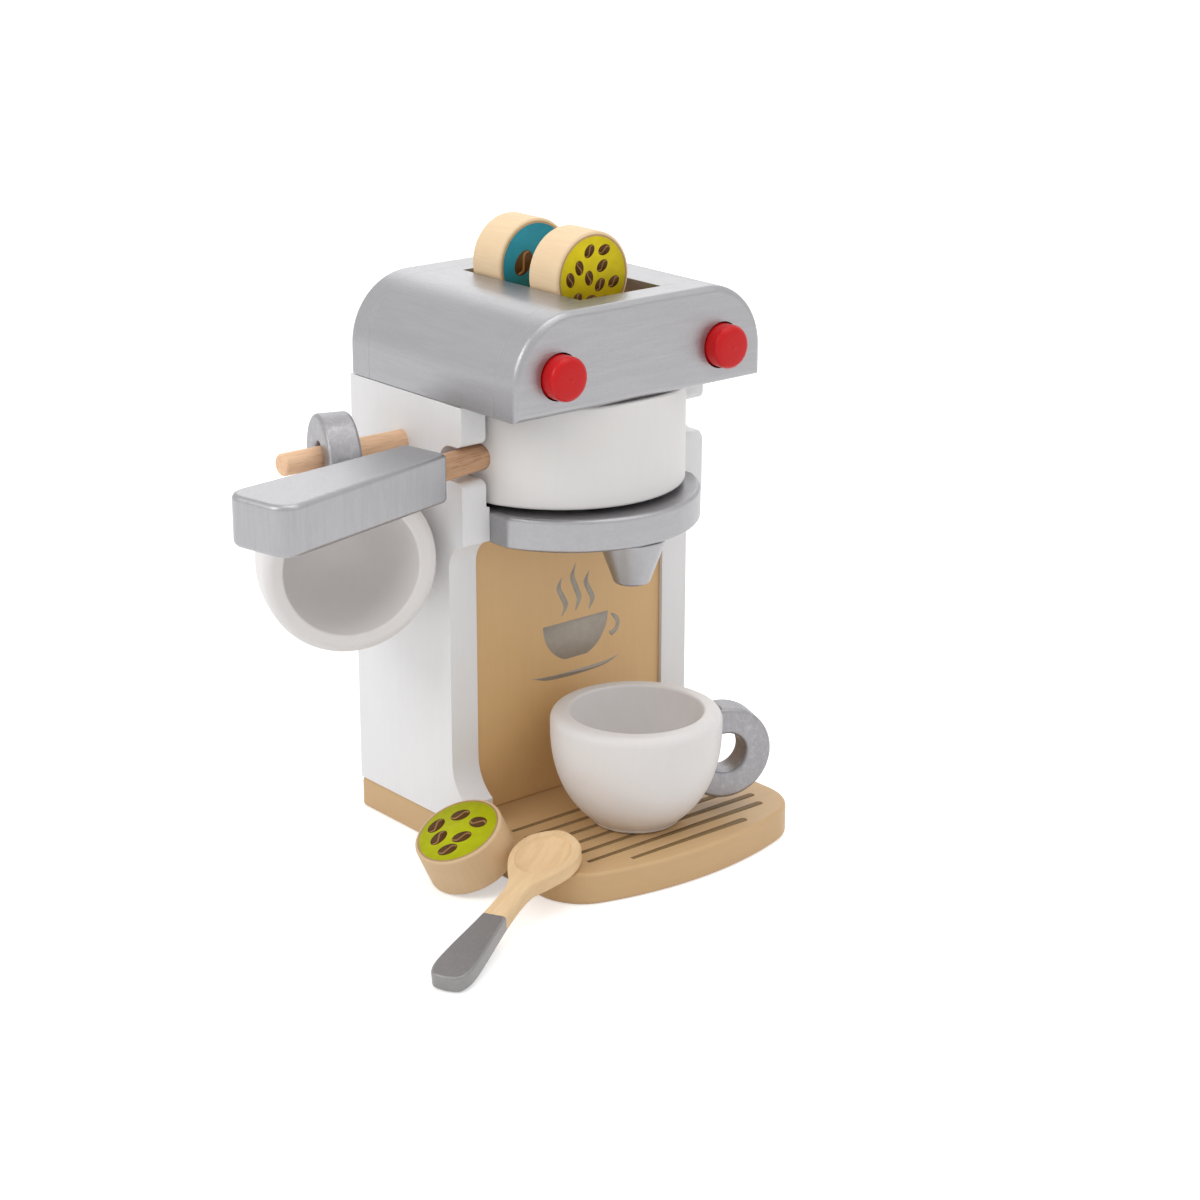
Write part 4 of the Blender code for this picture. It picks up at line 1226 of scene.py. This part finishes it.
@dataclass
class BrewHead:
    """The swinging drum with its dowel and paddle handle."""

    axis: float = 0.0522
    rest: float = math.radians(190.7)
    radius: float = 0.0452
    bottom: float = 0.1326
    top: float = 0.1697
    dowel_height: float = 0.1494
    dowel_radius: float = 0.00475
    root: float = 0.072
    tip: float = 0.1542
    root_half: float = 0.010
    tip_half: float = 0.0141
    thickness: float = 0.0178
    tip_corner: float = 0.0075
    root_corner: float = 0.002
    dowel_start: float = 0.024
    dowel_depth: float = 0.025
    drum_edge: float = 0.0012
    dowel_edge: float = 0.0005
    handle_edge: float = 0.0022

    def frame(self) -> Matrix:
        """Return the head's frame at rest: Z is its upright axis and X runs out along the handle."""
        return Matrix.Translation((0.0, forward(self.axis), 0.0)) @ Matrix.Rotation(self.rest, 4, "Z")

    def handle(self) -> Pen:
        """Return the paddle's outline: narrow at the root, wide at the tip, with round corners."""
        taper = math.atan2(self.tip_half - self.root_half, self.tip - self.root)
        wide = self.tip_corner * (1 - math.sin(taper)) / math.cos(taper)
        near = self.root_corner * (1 + math.sin(taper)) / math.cos(taper)
        x, y = self.tip - self.tip_corner, self.tip_half - wide
        a, b = self.root + self.root_corner, self.root_half - near
        pen = Pen(self.tip, -y).line(self.tip, y).arc(x, y, SQUARE + taper)
        pen.line(a - self.root_corner * math.sin(taper), b + self.root_corner * math.cos(taper))
        pen.arc(a, b, SQUARE - taper).line(self.root, -b).arc(a, -b, SQUARE - taper)
        pen.line(x - self.tip_corner * math.sin(taper), -y - self.tip_corner * math.cos(taper))
        return pen.arc(x, -y, SQUARE + taper)

    def build(self) -> None:
        """Build the drum, the dowel and the handle."""
        rest = self.frame()
        outward = Matrix.Rotation(SQUARE, 4, "Y")
        drum = Stock.rod(self.radius, self.top - self.bottom, 192).ease(self.drum_edge, 4)
        drum.placed(Matrix.Translation((0.0, 0.0, self.bottom)))
        bore = Stock.rod(AXLE_BORE, LONG_DRILL, 48)
        bore.placed(Matrix.Translation((0.0, 0.0, self.bottom - 0.01)))
        radial = Stock.rod(self.dowel_radius + DOWEL_FIT, 0.05, 64)
        radial.placed(Matrix.Translation((0.0237, 0.0, self.dowel_height)) @ outward)
        piece = carve(drum.piece("drum_body"), bore, radial)
        piece.data.transform(rest)
        upright = Grain(rest @ along((0.0, 0.0, 1.0)))
        dress(soften(piece, 0.0003, 2), "brew_head", WARM_WHITE, upright, "brew_drum")
        length = self.root + self.dowel_depth - self.dowel_start
        dowel = Stock.rod(self.dowel_radius, length, 64).ease(self.dowel_edge, 2)
        start = Matrix.Translation((self.dowel_start, 0.0, self.dowel_height))
        dowel.placed(rest @ start @ outward)
        grain = Grain(rest @ Matrix.Translation((0.0, 0.0, self.dowel_height)))
        # The dowel gets the darker beech, which holds painted shade from the notch.
        dress(soften(dowel.piece("dowel_rod"), 0.0), "brew_head", SHADED_DEEP_BEECH, grain, "handle_dowel")
        paddle = Stock.board(self.handle(), self.thickness).ease(self.handle_edge, 5)
        paddle.placed(Matrix.Translation((0.0, 0.0, self.dowel_height)))
        seat = Stock.rod(self.dowel_radius + DOWEL_FIT, 0.0293, 64)
        seat.placed(Matrix.Translation((self.root - 0.004, 0.0, self.dowel_height)) @ outward)
        piece = carve(paddle.piece("paddle_handle"), seat)
        piece.data.transform(rest)
        dress(soften(piece, 0.0), "brew_head", SILVER, upright, "brew_handle")


@dataclass
class Housing:
    """The arched box on top: two end boards, the hood with its pod slot, and the red buttons."""

    half_width: float = 0.0565
    bottom: float = 0.170
    top: float = 0.206
    corner: float = 0.025
    depth: float = 0.097
    end: float = 0.012
    wall: float = 0.008
    slot_half: float = 0.0185
    slot_back: float = 0.0183
    button_side: float = 0.0373
    button_height: float = 0.1841
    button_radius: float = 0.0079
    button_fit: float = 0.0005
    protrusion: float = 0.0065
    joint: float = 0.00001
    rim_edge: float = 0.0026
    fine_edge: float = 0.00012

    def arch(self, shrink: float = 0.0) -> Pen:
        """Return the arch's outline in (x, z).

        Args:
            shrink: how far inside the outer arch it runs.

        Returns:
            The drawing.
        """
        half, top, corner = self.half_width - shrink, self.top - shrink, self.corner - shrink
        foot = self.bottom + SEAM * 5
        pen = Pen(half, foot).line(half, top - corner).arc(half - corner, top - corner, SQUARE)
        return pen.line(corner - half, top).arc(corner - half, top - corner, SQUARE).line(-half, foot)

    def end_board(self, name: str, node: str, face: float, outer: float) -> bpy.types.Object:
        """Build one end board with its outer rim rounded.

        Args:
            name: the piece's name.
            node: the node that it replaces.
            face: how far its front face lies ahead of the back plane.
            outer: 1 where the front face is the outer one, and -1 where the back face is.

        Returns:
            The piece.
        """
        front = Facing.FRONT.matrix()
        board = Stock.board(self.arch(), self.end)
        board.ease(self.rim_edge, 6, lambda spot: spot.z * outer > 0)
        board.placed(Matrix.Translation((0.0, forward(face - self.end / 2), 0.0)) @ front)
        piece = board.piece(name)
        if outer > 0:
            holes = []
            for side in (-1.0, 1.0):
                spot = (side * self.button_side, forward(face - 0.03), self.button_height)
                hole = Stock.rod(self.button_radius + self.button_fit, LONG_DRILL, 96)
                holes.append(hole.placed(Matrix.Translation(spot) @ front))
            carve(piece, *holes)
        grain = Grain(along((1.0, 0.0, 0.0)))
        return dress(soften(piece, self.fine_edge, 2), "stand", SILVER, grain, node)

    def build(self) -> None:
        """Build the boards, the hood and the buttons."""
        self.end_board("front_board", "housing_front_board", self.depth, 1.0)
        self.end_board("back_board", "housing_back_board", self.end, -1.0)
        length = self.depth - 2 * self.end - 2 * self.joint
        hood = Stock.board(self.arch(), length, self.arch(self.wall))
        hood.placed(Matrix.Translation((0.0, forward(self.depth / 2), 0.0)) @ Facing.FRONT.matrix())
        slot = Stock.block(
            (-self.slot_half, forward(self.depth - 0.002), self.top - 0.012),
            (self.slot_half, forward(self.slot_back), self.top + 0.01),
        )
        piece = soften(carve(hood.piece("hood_shell"), slot), self.fine_edge, 2)
        dress(piece, "stand", SILVER, Grain(along((0.0, 1.0, 0.0))), "housing_hood")
        for side, word in ((-1.0, "left"), (1.0, "right")):
            self.button(side, word)

    def button(self, side: float, word: str) -> None:
        """Build one red button with a flange behind the board.

        Args:
            side: -1 for the left one and 1 for the right one.
            word: left or right.
        """
        r, soft = self.button_radius, 0.0022
        shank = -(self.protrusion + self.end + 0.0003)
        pen = Pen(0.0, 0.0003).curve([(0.0, 0.0), (0.002, 0.0), (0.004, -0.00005), (r - soft, -0.0002)], 3)
        pen.arc(r - soft, -soft - 0.0002, -SQUARE).line(r, shank).line(r + 0.0017, shank)
        pen.line(r + 0.0017, shank - 0.003).line(0.0, shank - 0.003)
        cap = Stock.turned(pen, 96)
        spot = (side * self.button_side, forward(self.depth + self.protrusion), self.button_height)
        cap.placed(Matrix.Translation(spot) @ Facing.FRONT.matrix())
        piece = soften(cap.piece(f"{word}_push_button"), 0.0003, 2)
        dress(piece, f"{word}_button", RED, Grain(along((0.0, 0.0, 1.0)), 2.0), f"{word}_button")


@dataclass
class Peg:
    """The peg in the left wall that the spare cup hangs on."""

    radius: float = 0.004
    back: float = 0.031
    height: float = 0.1513
    tip: float = 0.108
    inner: float = 0.0485

    def build(self) -> None:
        """Build the peg."""
        place = Matrix.Translation((-self.tip, forward(self.back), self.height)) @ Facing.SIDE.matrix()
        peg = Stock.rod(self.radius, self.tip - self.inner, 64).ease(0.001, 3).placed(place)
        grain = Grain(Matrix.Translation((0.0, forward(self.back), self.height)))
        dress(soften(peg.piece("peg_rod"), 0.0), "stand", PALE_BEECH, grain, "side_peg")


@dataclass
class Pod:
    """A round wooden pod with a printed disc and coffee beans."""

    name: str
    place: Matrix
    ink: Ink
    beans: tuple[tuple[float, float, float], ...]
    bean_length: float = 0.0054
    radius: float = 0.0165
    thickness: float = 0.016
    disc: float = 0.0147
    timber: Timber = POD_BIRCH

    def build(self) -> None:
        """Build the pod, its disc and its beans."""
        pod = Stock.rod(self.radius, self.thickness, 128).ease(0.001, 3)
        pod.placed(self.place @ Matrix.Translation((0.0, 0.0, -self.thickness)))
        grain = Grain(self.place @ along((0.0, 0.0, 1.0)), 8.0)
        dress(soften(pod.piece(f"{self.name}_round"), 0.0), self.name, self.timber, grain, self.name)
        r = self.disc
        rounds = ((self.radius - 0.0011, "rim", POD_RIM), (r, "disc", self.ink))
        for lift, (radius, word, ink) in enumerate(rounds, 1):
            circle = Pen(radius, 0.0).arc(0.0, 0.0, 2 * math.pi)
            print_on(circle, f"{self.name}_{word}", self.name, ink, self.place, lift)
        for i, (x, y, turn) in enumerate(self.beans):
            spot = self.place @ Matrix.Translation((x * r, y * r, 0.0)) @ Matrix.Rotation(turn, 4, "Z")
            self.bean(f"{self.name}_bean_{i + 1}", spot)

    def bean(self, name: str, spot: Matrix) -> None:
        """Print one bean and the line across it.

        Args:
            name: the bean's name.
            spot: its place on the disc; its length runs along X.
        """
        long, wide = self.bean_length / 2, self.bean_length * 0.35
        steps = 20
        turns = [2 * math.pi * k / steps for k in range(1, steps)]
        rim = [(long * math.cos(a), wide * math.sin(a)) for a in turns]
        print_on(Pen(long, 0.0).through(rim), name, self.name, BEAN, spot, 3)
        thin = wide * 0.15
        line = [(long * t, wide * 0.42 * math.sin(math.pi * t) - thin) for t in (-0.92, -0.5, 0.0, 0.5, 0.92)]
        back = [(x, y + 2 * thin) for x, y in line][::-1]
        pen = Pen(*line[0]).curve(line, 4)
        print_on(pen.line(*back[0]).curve(back, 4), f"{name}_line", self.name, BEAN_LINE, spot, 4)


@dataclass
class Cup:
    """A turned wooden cup with a ring for its handle."""

    name: str
    seat: Matrix
    radius: float = 0.0314
    inner: float = 0.0244
    height: float = 0.0427
    widest: float = 0.0373
    curve: float = 0.0413
    side_fullness: float = 2.3
    floor: float = 0.007
    fullness: float = 0.72
    foot: float = 0.0015
    rim_rounding: float = 0.0036
    mouth_rounding: float = 0.001
    ring_radius: float = 0.0175
    ring_hole: float = 0.0077
    ring_thickness: float = 0.012
    ring_rounding: float = 0.0015
    ring_offset: float = 0.0334
    ring_height: float = 0.0228

    def side(self, steps: int, grow: float = 0.0) -> list[Point]:
        """Return the outer side from its widest height down to its foot.

        Args:
            steps: the number of strokes.
            grow: how far outside the cup it runs.

        Returns:
            The points.
        """
        points = []
        for i in range(steps + 1):
            height = self.widest + (self.foot - self.widest) * i / steps
            share = (self.widest - height) / self.curve
            points.append((self.radius * math.sqrt(1 - share**self.side_fullness) + grow, height))
        return points

    def section(self) -> Pen:
        """Return the half section: bowl, flat-topped rim, outer side and foot."""
        lip = self.height - self.mouth_rounding
        pen = Pen(0.0, self.floor)
        for i in range(1, 33):
            angle = SQUARE * (1 - i / 32)
            reach = self.inner * max(0.0, math.cos(angle)) ** self.fullness
            pen.line(reach, lip - (lip - self.floor) * math.sin(angle))
        rim = self.radius - self.rim_rounding
        pen.arc(self.inner + self.mouth_rounding, lip, -SQUARE).line(rim, self.height)
        pen.arc(rim, self.height - self.rim_rounding, -SQUARE).through(self.side(24))
        foot = pen.tip.co.x - self.foot
        return pen.arc(foot, self.foot, -SQUARE).line(0.0, 0.0)

    def ring(self) -> Pen:
        """Return the ring's section with its soft corners."""
        half, soft = self.ring_thickness / 2, self.ring_rounding
        out, hole = self.ring_radius - soft, self.ring_hole + soft
        pen = Pen(out, -half).arc(out, soft - half, SQUARE)
        pen.line(self.ring_radius, half - soft).arc(out, half - soft, SQUARE)
        pen.line(hole, half).arc(hole, half - soft, SQUARE).line(self.ring_hole, soft - half)
        return pen.arc(hole, soft - half, SQUARE)

    def build(self) -> None:
        """Build the cup and its ring."""
        bowl = Stock.turned(self.section(), 128).placed(self.seat)
        grain = Grain(self.seat @ along((0.0, 0.0, 1.0)), 6.0)
        dress(soften(bowl.piece(f"{self.name}_bowl"), 0.0), self.name, CUP_WHITE, grain, self.name)
        place = self.seat @ Matrix.Translation((self.ring_offset, 0.0, self.ring_height))
        ring = Stock.turned(self.ring(), 96, True).placed(place @ Facing.FRONT.matrix())
        outside = Pen(0.0, self.height + 0.004).line(self.radius + SEAM, self.height + 0.004)
        outside.through(self.side(24, SEAM)).line(0.0, self.foot)
        piece = carve(ring.piece(f"{self.name}_ring"), Stock.turned(outside, 128).placed(self.seat))
        grain = Grain(self.seat @ along((0.0, 0.0, 1.0)), 10.0)
        dress(soften(piece, 0.0), self.name, RING_SILVER, grain, f"{self.name}_handle")


@dataclass
class Spoon:
    """A flat wooden spoon with a dished bowl and a dipped handle."""

    length: float = 0.0955
    thickness: float = 0.006
    shares: tuple[Point, ...] = (
        (0.008, 0.045),
        (0.035, 0.066),
        (0.09, 0.074),
        (0.20, 0.067),
        (0.38, 0.049),
        (0.53, 0.041),
        (0.625, 0.050),
        (0.70, 0.087),
        (0.785, 0.121),
        (0.87, 0.125),
        (0.945, 0.094),
    )
    tip_side: float = -0.12629
    tip_forward: float = 0.14551
    heading: float = math.radians(26.3)
    tilt: float = math.radians(8.8728)
    lift: float = 0.00015
    dip: float = 0.0385
    edge: float = 0.001
    dish_place: float = 0.825
    dish_length: float = 0.132
    dish_width: float = 0.099
    dish_depth: float = 0.0032

    def build(self) -> None:
        """Build the spoon."""
        frame = (
            Matrix.Translation((self.tip_side, forward(self.tip_forward), self.lift))
            @ Matrix.Rotation(self.heading, 4, "Z")
            @ Matrix.Rotation(-self.tilt, 4, "Y")
        )
        side = [(x * self.length, y * self.length) for x, y in self.shares]
        end = (self.length, 0.0)
        lower = [(x, -y) for x, y in side]
        path = [(0.0, 0.0), *lower, end, *side[::-1], (0.0, 0.0)]
        pen = Pen(0.0, 0.0).curve(path, 6)
        spoon = Stock.board(pen, self.thickness).ease(self.edge, 3)
        spoon.placed(Matrix.Translation((0.0, 0.0, self.thickness / 2)))
        ball = bmesh.new()
        bmesh.ops.create_uvsphere(ball, u_segments=64, v_segments=32, radius=1.0)
        size = (self.length * self.dish_length, self.length * self.dish_width, self.dish_depth)
        bmesh.ops.scale(ball, vec=size, verts=ball.verts)
        place = (self.length * self.dish_place, 0.0, self.thickness)
        bmesh.ops.translate(ball, vec=place, verts=ball.verts)
        piece = carve(spoon.piece("spoon_blank"), Stock(ball))
        piece.data.transform(frame)
        finish = DippedTimber("dipped birch", BIRCH.colour, BIRCH, GREY_DIP, self.dip)
        dress(soften(piece, 0.0003, 2), "spoon", finish, Grain(frame, 9.0), "spoon")


@dataclass
class Inner:
    """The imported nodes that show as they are, with their own finishes."""

    finishes: tuple[tuple[str, Paint | Timber, tuple[float, float, float]], ...] = (
        ("drum_axle", BEECH, (0.0, 0.0, 1.0)),
        ("housing_floor", BIRCH, (1.0, 0.0, 0.0)),
        ("pod_trough", BIRCH, (0.0, 1.0, 0.0)),
        ("left_spring", STEEL, (0.0, 1.0, 0.0)),
        ("right_spring", STEEL, (0.0, 1.0, 0.0)),
        ("left_spring_block", BIRCH, (0.0, 0.0, 1.0)),
        ("right_spring_block", BIRCH, (0.0, 0.0, 1.0)),
    )

    def build(self, nodes: dict[str, bpy.types.Object]) -> None:
        """Dress the nodes.

        Args:
            nodes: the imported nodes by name.
        """
        for name, finish, axis in self.finishes:
            material = finish.material(name, Grain(along(axis)))
            node = nodes[name]
            for slot in node.material_slots:
                slot.material = material
            LOG.info("%s: %s", name, finish.name)


@dataclass
class Studio:
    """The pale floor, the soft lights and the camera."""

    place: tuple[float, float, float] = (-0.59436, -0.71242, 0.40298)
    right: tuple[float, float, float] = (0.7651, -0.6439, 0.0024)
    up: tuple[float, float, float] = (0.2052, 0.2473, 0.947)
    lens: float = 79.884
    ambient: float = 0.70
    floor_glow: float = 0.46

    def camera(self) -> None:
        """Add the camera at the photograph's place."""
        data = bpy.data.cameras.new("camera")
        data.lens = self.lens
        data.sensor_width = 36.0
        data.clip_start, data.clip_end = 0.01, 50.0
        camera = bpy.data.objects.new("camera", data)
        right, up = Vector(self.right).normalized(), Vector(self.up).normalized()
        back = right.cross(up).normalized()
        up = back.cross(right)
        turn = Matrix((right, up, back)).transposed().to_4x4()
        camera.matrix_world = Matrix.Translation(self.place) @ turn
        bpy.context.scene.collection.objects.link(camera)
        bpy.context.scene.camera = camera

    def floor(self) -> None:
        """Lay the pale floor, which keeps the object's shadow."""
        mesh = bmesh.new()
        bmesh.ops.create_grid(mesh, x_segments=1, y_segments=1, size=6.0)
        plane = Stock(mesh).piece("floor")
        material = bpy.data.materials.new("pale floor")
        material.use_nodes = True
        net = Net(material.node_tree)
        shader = material.node_tree.nodes["Principled BSDF"]
        shader.inputs["Base Color"].default_value = (0.86, 0.86, 0.86, 1.0)
        shader.inputs["Roughness"].default_value = 0.9
        shader.inputs["Specular IOR Level"].default_value = 0.0
        shader.inputs["Emission Color"].default_value = (1.0, 1.0, 1.0, 1.0)
        glow = net.math("MULTIPLY", net.seen(), self.floor_glow)
        net.feed(shader.inputs["Emission Strength"], glow)
        plane.data.materials.append(material)
        plane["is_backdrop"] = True

    def world(self) -> None:
        """Light the room evenly and show it white."""
        world = bpy.data.worlds.new("soft room")
        world.use_nodes = True
        bpy.context.scene.world = world
        net = Net(world.node_tree)
        background = world.node_tree.nodes["Background"]
        background.inputs["Color"].default_value = (1.0, 1.0, 1.0, 1.0)
        net.feed(background.inputs["Strength"], net.span(net.seen(), 0.0, 1.0, self.ambient, 1.0))

    def lamp(self, name: str, place: Sequence[float], size: float, power: float) -> None:
        """Hang one soft square lamp that looks at the toy.

        Args:
            name: the lamp's name.
            place: where it hangs.
            size: its side.
            power: its power in watts.
        """
        data = bpy.data.lights.new(name, "AREA")
        data.shape = "SQUARE"
        data.size = size
        data.energy = power
        lamp = bpy.data.objects.new(name, data)
        aim = Vector((0.0, 0.0, 0.1)) - Vector(place)
        lamp.matrix_world = Matrix.Translation(place) @ aim.to_track_quat("-Z", "Y").to_matrix().to_4x4()
        bpy.context.scene.collection.objects.link(lamp)

    def build(self) -> None:
        """Set up the whole studio."""
        bpy.context.scene.view_settings.view_transform = "Standard"
        self.camera()
        self.floor()
        self.world()
        self.lamp("left lamp", (-1.2, 0.25, 1.0), 0.8, 5.5)
        self.lamp("top lamp", (0.2, -0.1, 1.5), 0.9, 4.0)
        self.lamp("back lamp", (1.0, 1.3, 1.0), 1.2, 3.5)
        self.lamp("front lamp", (0.6, -1.1, 1.4), 0.9, 2.5)


def cups() -> tuple[Cup, Cup]:
    """Return the cup on the tray and the cup that hangs on the peg."""
    spot = Matrix.Translation((-0.0021, forward(0.0972), 0.0123))
    tray = spot @ Matrix.Rotation(math.radians(-21), 4, "Z")
    peg, side, slack, swing = Peg(), -0.0855, 0.0009, math.radians(20)
    mouth = Vector((-math.sin(swing), -math.cos(swing), 0.0))
    up = Vector((0.0, 0.0, 1.0))
    turn = Matrix((up, mouth.cross(up), mouth)).transposed().to_4x4()
    spare = Cup("hanging_cup", Matrix.Identity(4))
    ring = Vector((side, forward(peg.back), peg.height + peg.radius + slack - spare.ring_hole))
    spare.seat = Matrix.Translation(ring - up * spare.ring_offset - mouth * spare.ring_height) @ turn
    return Cup("tray_cup", tray), spare


def pods() -> tuple[Pod, ...]:
    """Return the two pods in the slot and the one that leans on the tray."""
    front = Facing.FRONT.matrix()
    side, trough, gap = -0.0012, 0.0135, 0.0003
    height = Housing.top - trough + gap + Pod.radius
    tilt, ease, board = math.radians(26.0), 0.0015, 0.012
    corner, flat = 0.001, 0.0155
    edge = Vector((ease - Housing.half_width, board - ease))
    normal = Vector((-math.sin(tilt), math.cos(tilt)))
    rise = gap + corner - corner * normal.y + flat * math.sin(tilt)
    back = (normal.dot(edge) + ease + gap - rise * normal.y) / normal.x
    centre = Vector((back, rise)) + normal * Pod.thickness
    lean = Matrix.Translation((centre.x, forward(0.0825), centre.y)) @ Matrix.Rotation(-tilt, 4, "Y")
    many = (
        (-0.12, 0.66, 0.8),
        (0.34, 0.64, 0.2),
        (0.28, 0.26, 0.6),
        (-0.43, 0.29, 1.7),
        (-0.13, 0.01, 1.6),
        (-0.71, 0.03, 1.7),
        (0.21, -0.19, 0.8),
        (0.64, -0.17, 0.5),
        (-0.50, -0.47, 0.9),
        (-0.07, -0.54, 0.1),
        (0.36, -0.61, 0.1),
    )
    few = (
        (0.41, 0.37, -0.75),
        (0.46, -0.28, -1.35),
        (-0.15, 0.68, 0.0),
        (-0.41, 0.27, 0.1),
        (-0.10, -0.28, -0.75),
        (-0.58, -0.28, -0.65),
    )
    two = ((-0.37, 0.06, 0.95), (0.37, -0.04, 0.95))
    near = Matrix.Translation((side, forward(0.0713), height)) @ front
    far = Matrix.Translation((side, forward(0.0388), height)) @ front
    return (
        Pod("yellow_pod", near, YELLOW, many),
        Pod("blue_pod", far, TEAL, two, 0.0100),
        # The leaning pod gets the darker birch, which holds painted shade.
        Pod("green_pod", lean, GREEN, few, 0.0075, timber=SHADED_TAN_BIRCH),
    )


def main() -> None:
    """Load the frame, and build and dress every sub-assembly."""
    logging.basicConfig(level=logging.INFO, format="%(message)s")
    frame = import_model()
    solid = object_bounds()
    Studio().build()
    parts = [Tray(), Walls(), BrewPlate(), BrewHead(), Housing(), Peg(), *pods(), *cups(), Spoon()]
    for part in parts:
        part.build()
    Inner().build(frame["nodes"])
    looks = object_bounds()
    for axis, low, high, visual_low, visual_high in zip("xyz", *solid, *looks):
        LOG.info("%s: solid %.4f to %.4f, looks %.4f to %.4f", axis, low, high, visual_low, visual_high)


if __name__ == "__main__":
    main()
